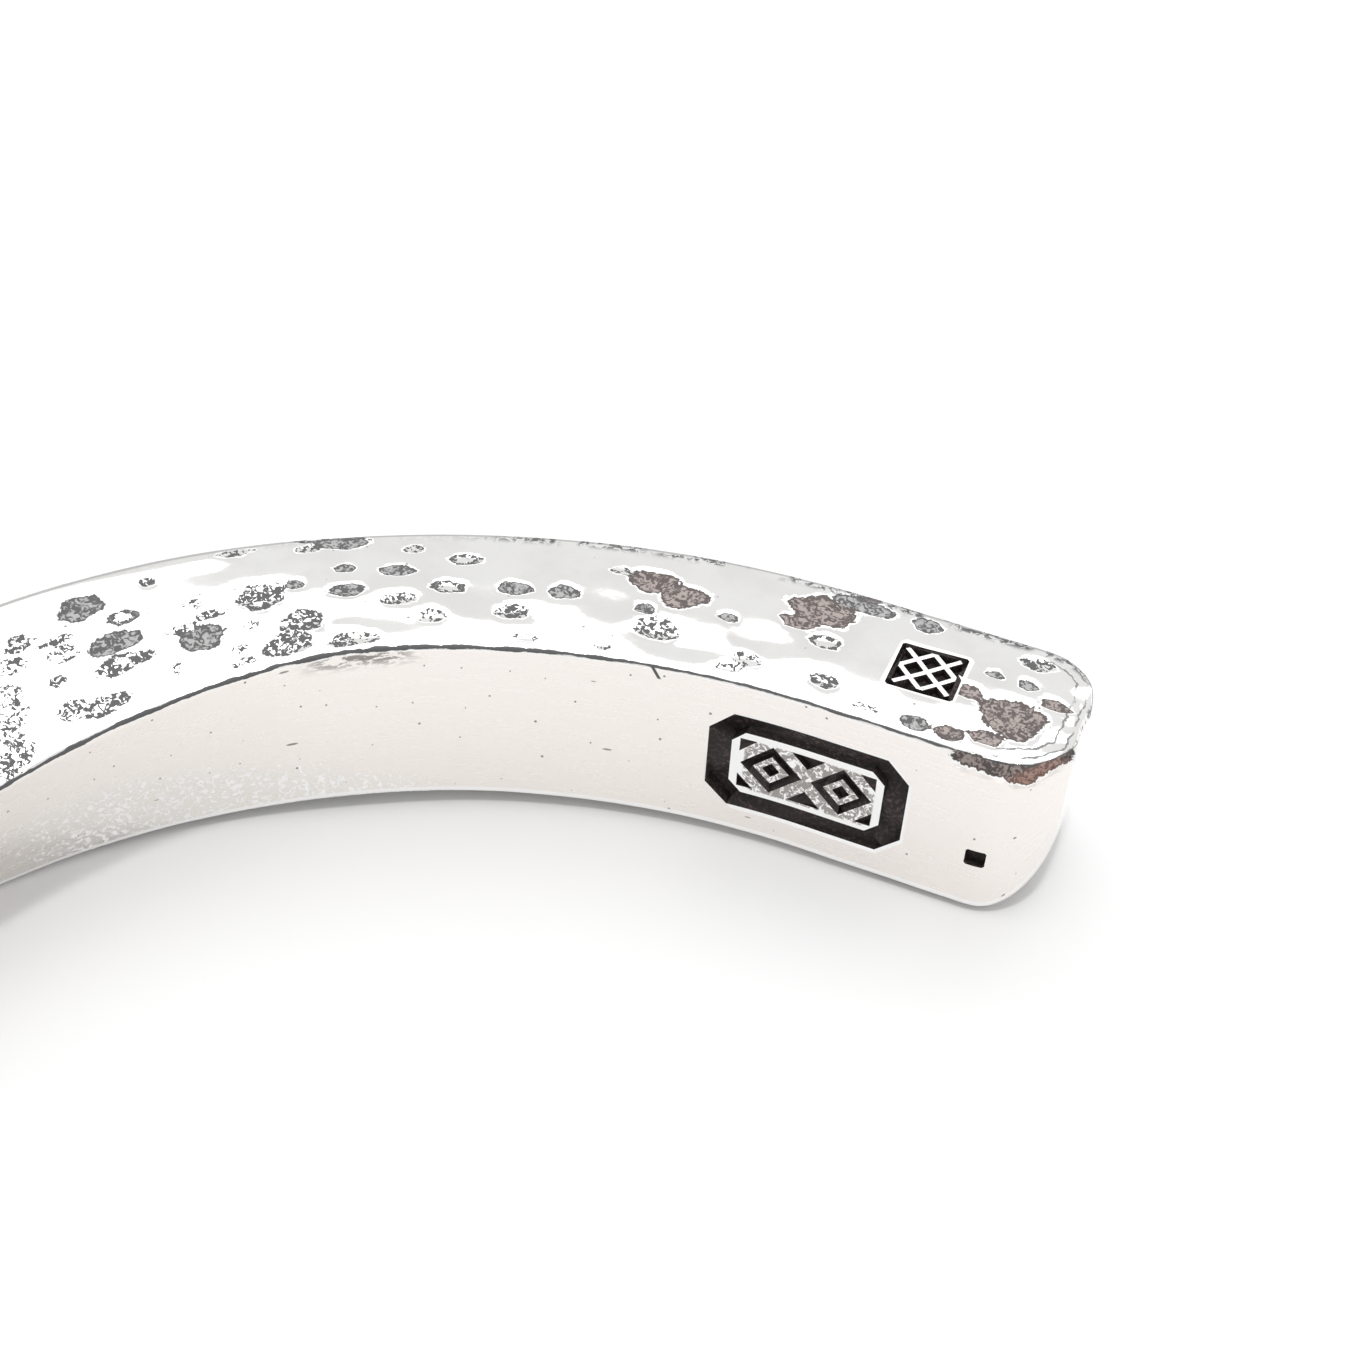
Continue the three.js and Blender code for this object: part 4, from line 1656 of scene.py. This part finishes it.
@dataclass
class Bangle:
    """The whole bangle: one bar, hammered, twisted, bent and punched."""

    path: CuffPath = field(default_factory=CuffPath)
    work: HammerWork = field(default_factory=HammerWork)
    cartouche: Cartouche = Cartouche()
    seal: Seal = Seal()
    dot: SquareDot = SquareDot()
    sharp: float = math.radians(34)
    past_tip: float = 1 * MM

    def __post_init__(self) -> None:
        """Makes the blank and the finishes."""
        self.blank = StraightBlank(self.path)
        wear = SilverWear(Oxide().group(), plate_group(), self.path.length())
        self.hammered = HammeredSilver().build(wear, self.seal)
        self.satin = SatinSilver().build(wear, self.cartouche)
        self.recess = OxidisedRecess().build()

    def blank_object(self) -> tuple[bpy.types.Object, Vector]:
        """The straight blank with its skin map and its hammer work laid out.

        Returns:
            The blank, and how far the bent bar moves to its place.
        """
        grid = self.blank.points()
        rings, places, _ = grid.shape
        first, second = np.meshgrid(np.arange(rings - 1) * places, np.arange(places), indexing="ij")
        ahead = (second + 1) % places
        corners = [first + second, first + places + second, first + places + ahead, first + ahead]
        quads = np.stack(corners, 2).reshape(-1, 4)
        caps = [list(range(places)), list(range((rings - 1) * places, rings * places))[::-1]]
        mesh = bpy.data.meshes.new("straight_blank")
        mesh.from_pydata(grid.reshape(-1, 3).tolist(), [], [*quads.tolist(), *caps])
        skin = self.blank.skin()
        self.lay_skin(mesh, skin, quads, caps)
        self.lay_work(mesh, grid, skin)
        plain = StraightBlank(self.path, crown=0.0).points().reshape(-1, 3)
        return add_object("straight_blank", mesh), self.path.stand(plain)

    def lay_skin(self, mesh: bpy.types.Mesh, skin: np.ndarray, quads: np.ndarray, caps: list) -> None:
        """Writes the skin map: the distance along the bar, past its tips on the end faces, and round it.

        Args:
            mesh: the blank's mesh.
            skin: the distance round the section at each place, with the closing place last.
            quads: the long faces' points, a row for each.
            caps: the end faces' points.
        """
        places = len(skin) - 1
        inside_cap = (self.blank.cap_rings - 1) * places
        along = np.array([v.co.x for v in mesh.vertices])
        along[:inside_cap] = -self.past_tip
        along[-inside_cap:] = self.path.length() + self.past_tip
        place = quads % places
        closing = (place == 0) & (place.max(1, keepdims=True) == places - 1)
        level = np.where(closing, skin[-1], skin[place])
        whole = np.stack([along[quads], level], 2).reshape(-1, 2)
        ends = [np.stack([along[cap], skin[np.array(cap) % places]], 1) for cap in caps]
        values = np.concatenate([whole, *ends])
        mesh.uv_layers.new(name="skin").data.foreach_set("uv", values.astype(np.float32).ravel())

    def lay_work(self, mesh: bpy.types.Mesh, grid: np.ndarray, skin: np.ndarray) -> None:
        """Writes what the forge tree reads: how hammered each point is, and where the charted hollows are.

        Args:
            mesh: the blank's mesh.
            grid: the blank's points, ring by ring.
            skin: the distance round the section at each place.
        """
        work, length = self.work, self.path.length()
        rings, places, _ = grid.shape
        _, sides, hammered = self.blank.section()
        on_top = np.array([side is Side.TOP for side in sides])
        on_smooth = np.array([side is Side.SMOOTH for side in sides])
        along = grid[:, :, 0]
        around = np.broadcast_to(skin[:-1], along.shape)
        depth = np.minimum(along, length - along)
        tip = np.clip(depth / work.tip_fade, work.tip_least, 1)
        charted = on_top & (along < work.charted_length)
        bare = charted | on_smooth | (along < work.bare_tip)
        near_tip, near_middle = (
            np.clip(1 - np.abs(value - middle) / reach, 0, 1)
            for value, middle, reach in zip((depth, around), work.burr_place, work.burr_reach)
        )
        fields = work.lay(along, around)
        fields["wild"] = np.where(bare, 0.0, 1.0)
        fields["hammered"] = hammered * tip
        fields["ragged"] = near_tip * np.sqrt(near_middle)
        fields = {name: value * self.blank.on_skin(rings) for name, value in fields.items()}
        fields["tip_depth"] = np.where(on_top, self.blank.tip_depth(grid), length)
        for name, value in fields.items():
            layer = mesh.attributes.new(name, "FLOAT", "POINT")
            layer.data.foreach_set("value", value.astype(np.float32).ravel())
        smooth = np.broadcast_to(on_smooth, (rings - 1, places)).copy()
        smooth[: self.blank.cap_rings - 1] = False
        smooth[1 - self.blank.cap_rings :] = False
        values = np.append(smooth.ravel(), [False, False])
        mesh.attributes.new("smooth_face", "BOOLEAN", "FACE").data.foreach_set("value", values)

    def forge(self, blank: bpy.types.Object, stand: Vector) -> bpy.types.Object:
        """Hammers, twists and bends the blank.

        Args:
            blank: the straight blank.
            stand: how far the bent bar moves to its place.

        Returns:
            The bar as a plain mesh.
        """
        tree = ForgeTree(self.path)
        modifier = blank.modifiers.new("forge_cuff", "NODES")
        modifier.node_group = tree.build()
        values = {name: value for name, (_, value) in tree.sizes().items()}
        values |= {"Stand": stand, "Hammered Finish": self.hammered, "Smooth Finish": self.satin}
        for item in modifier.node_group.interface.items_tree:
            if item.in_out == "INPUT" and item.name in values:
                modifier[item.identifier] = values[item.name]
        evaluated = blank.evaluated_get(bpy.context.evaluated_depsgraph_get())
        bar = add_object("bangle_bar", bpy.data.meshes.new_from_object(evaluated))
        blank.modifiers.remove(modifier)
        bpy.data.objects.remove(blank)
        return bar

    def strike(self, bar: bpy.types.Object, stand: Vector) -> None:
        """Punches the marks into the bar.

        Args:
            bar: the bent bar.
            stand: how far it was moved to its place.
        """
        sets = [*self.cartouche.punches(), *self.seal.punches(), *self.dot.punches()]
        punches = [punch.build(self.blank, stand, self.recess) for punch in sets]
        for punch in punches:
            cut = bar.modifiers.new(punch.name, "BOOLEAN")
            cut.object = punch
            cut.operation = "DIFFERENCE"
            cut.solver = "MANIFOLD"
            cut.material_mode = "TRANSFER"
        evaluated = bar.evaluated_get(bpy.context.evaluated_depsgraph_get())
        mesh = bpy.data.meshes.new_from_object(evaluated)
        bar.modifiers.clear()
        bar.data = mesh
        for punch in punches:
            bpy.data.objects.remove(punch)

    def build(self) -> bpy.types.Object:
        """Makes the bangle.

        Returns:
            The finished piece.
        """
        blank, stand = self.blank_object()
        bar = self.forge(blank, stand)
        self.strike(bar, stand)
        bar.data.shade_smooth()
        bar.data.set_sharp_from_angle(angle=self.sharp)
        return bar


# ---------------------------------------------------------------- the studio


@dataclass(frozen=True)
class Lamp:
    """A square soft light: its side in metres, its height above the table in degrees, its power in watts."""

    name: str
    size: float
    height: float
    power: float


@dataclass(frozen=True)
class Studio:
    """A pale table, a soft panel beyond the bangle, a small fill behind the camera, and the camera."""

    floor_size: float = 3.0
    floor_colour: Colour = (0.775, 0.775, 0.775, 1)
    floor_roughness: float = 0.5
    sky: Colour = (0.86, 0.86, 0.86, 1)
    beyond: Lamp = Lamp("soft_panel", 0.5, 66.0, 0.98)
    behind: Lamp = Lamp("small_fill", 0.05, 84.0, 0.8)
    lamp_distance: float = 0.55
    eye: tuple[float, float, float] = (-16.62 * MM, 6.28 * MM, 47.51 * MM)
    azimuth: float = -120.34
    elevation: float = 42.22
    roll: float = 2.74
    lens: float = 56.0
    sensor: float = 36.0
    clip: Point = (0.001, 10.0)

    def floor(self) -> bpy.types.Object:
        """Makes the table top.

        Returns:
            The floor.
        """
        half = self.floor_size / 2
        mesh = bpy.data.meshes.new("table_top")
        corners = [(-half, -half, 0.0), (half, -half, 0.0), (half, half, 0.0), (-half, half, 0.0)]
        mesh.from_pydata(corners, [], [(0, 1, 2, 3)])
        material = bpy.data.materials.new("white_table")
        material.use_nodes = True
        shader = material.node_tree.nodes["Principled BSDF"]
        shader.inputs["Base Color"].default_value = self.floor_colour
        shader.inputs["Roughness"].default_value = self.floor_roughness
        mesh.materials.append(material)
        return add_object("table_top", mesh)

    def light(self, lamp: Lamp, facing: float) -> None:
        """Makes a lamp that shines on the bangle.

        Args:
            lamp: the lamp.
            facing: the compass direction that it stands in, in degrees, counted as the camera's is.
        """
        light = bpy.data.lights.new(lamp.name, "AREA")
        light.shape = "SQUARE"
        light.size = lamp.size
        light.energy = lamp.power
        turn, rise = math.radians(facing), math.radians(lamp.height)
        level = math.cos(rise)
        spot = Vector((-math.sin(turn) * level, math.cos(turn) * level, math.sin(rise))) * self.lamp_distance
        aim = (-spot).to_track_quat("-Z", "Y").to_matrix().to_4x4()
        add_object(lamp.name, light).matrix_world = Matrix.Translation(spot) @ aim

    def world(self) -> None:
        """Makes the even sky."""
        world = bpy.data.worlds.new("studio")
        world.use_nodes = True
        world.node_tree.nodes["Background"].inputs[0].default_value = self.sky
        bpy.context.scene.world = world

    def camera(self) -> None:
        """Makes the camera."""
        lens = bpy.data.cameras.new("camera")
        lens.lens = self.lens
        lens.sensor_width = self.sensor
        lens.clip_start, lens.clip_end = self.clip
        turn = Euler((math.radians(90 - self.elevation), 0, math.radians(self.azimuth))).to_matrix().to_4x4()
        roll = Matrix.Rotation(math.radians(self.roll), 4, "Z")
        camera = add_object("camera", lens)
        camera.matrix_world = Matrix.Translation(Vector(self.eye)) @ turn @ roll
        bpy.context.scene.camera = camera

    def build(self) -> None:
        """Makes the whole studio."""
        self.floor()
        self.world()
        self.light(self.beyond, self.azimuth)
        self.light(self.behind, self.azimuth + 180)
        self.camera()
        settings = bpy.context.scene.view_settings
        settings.view_transform = "Standard"
        settings.look = "None"


def main() -> None:
    """Builds the bangle and the studio, and logs how many points and faces the bangle has."""
    logging.basicConfig(level=logging.INFO, format="%(name)s: %(message)s")
    bangle = Bangle().build()
    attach(bangle, "root")
    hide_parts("bangle")
    log.info("%s: %d points, %d faces", bangle.name, len(bangle.data.vertices), len(bangle.data.polygons))
    Studio().build()


if __name__ == "__main__":
    main()
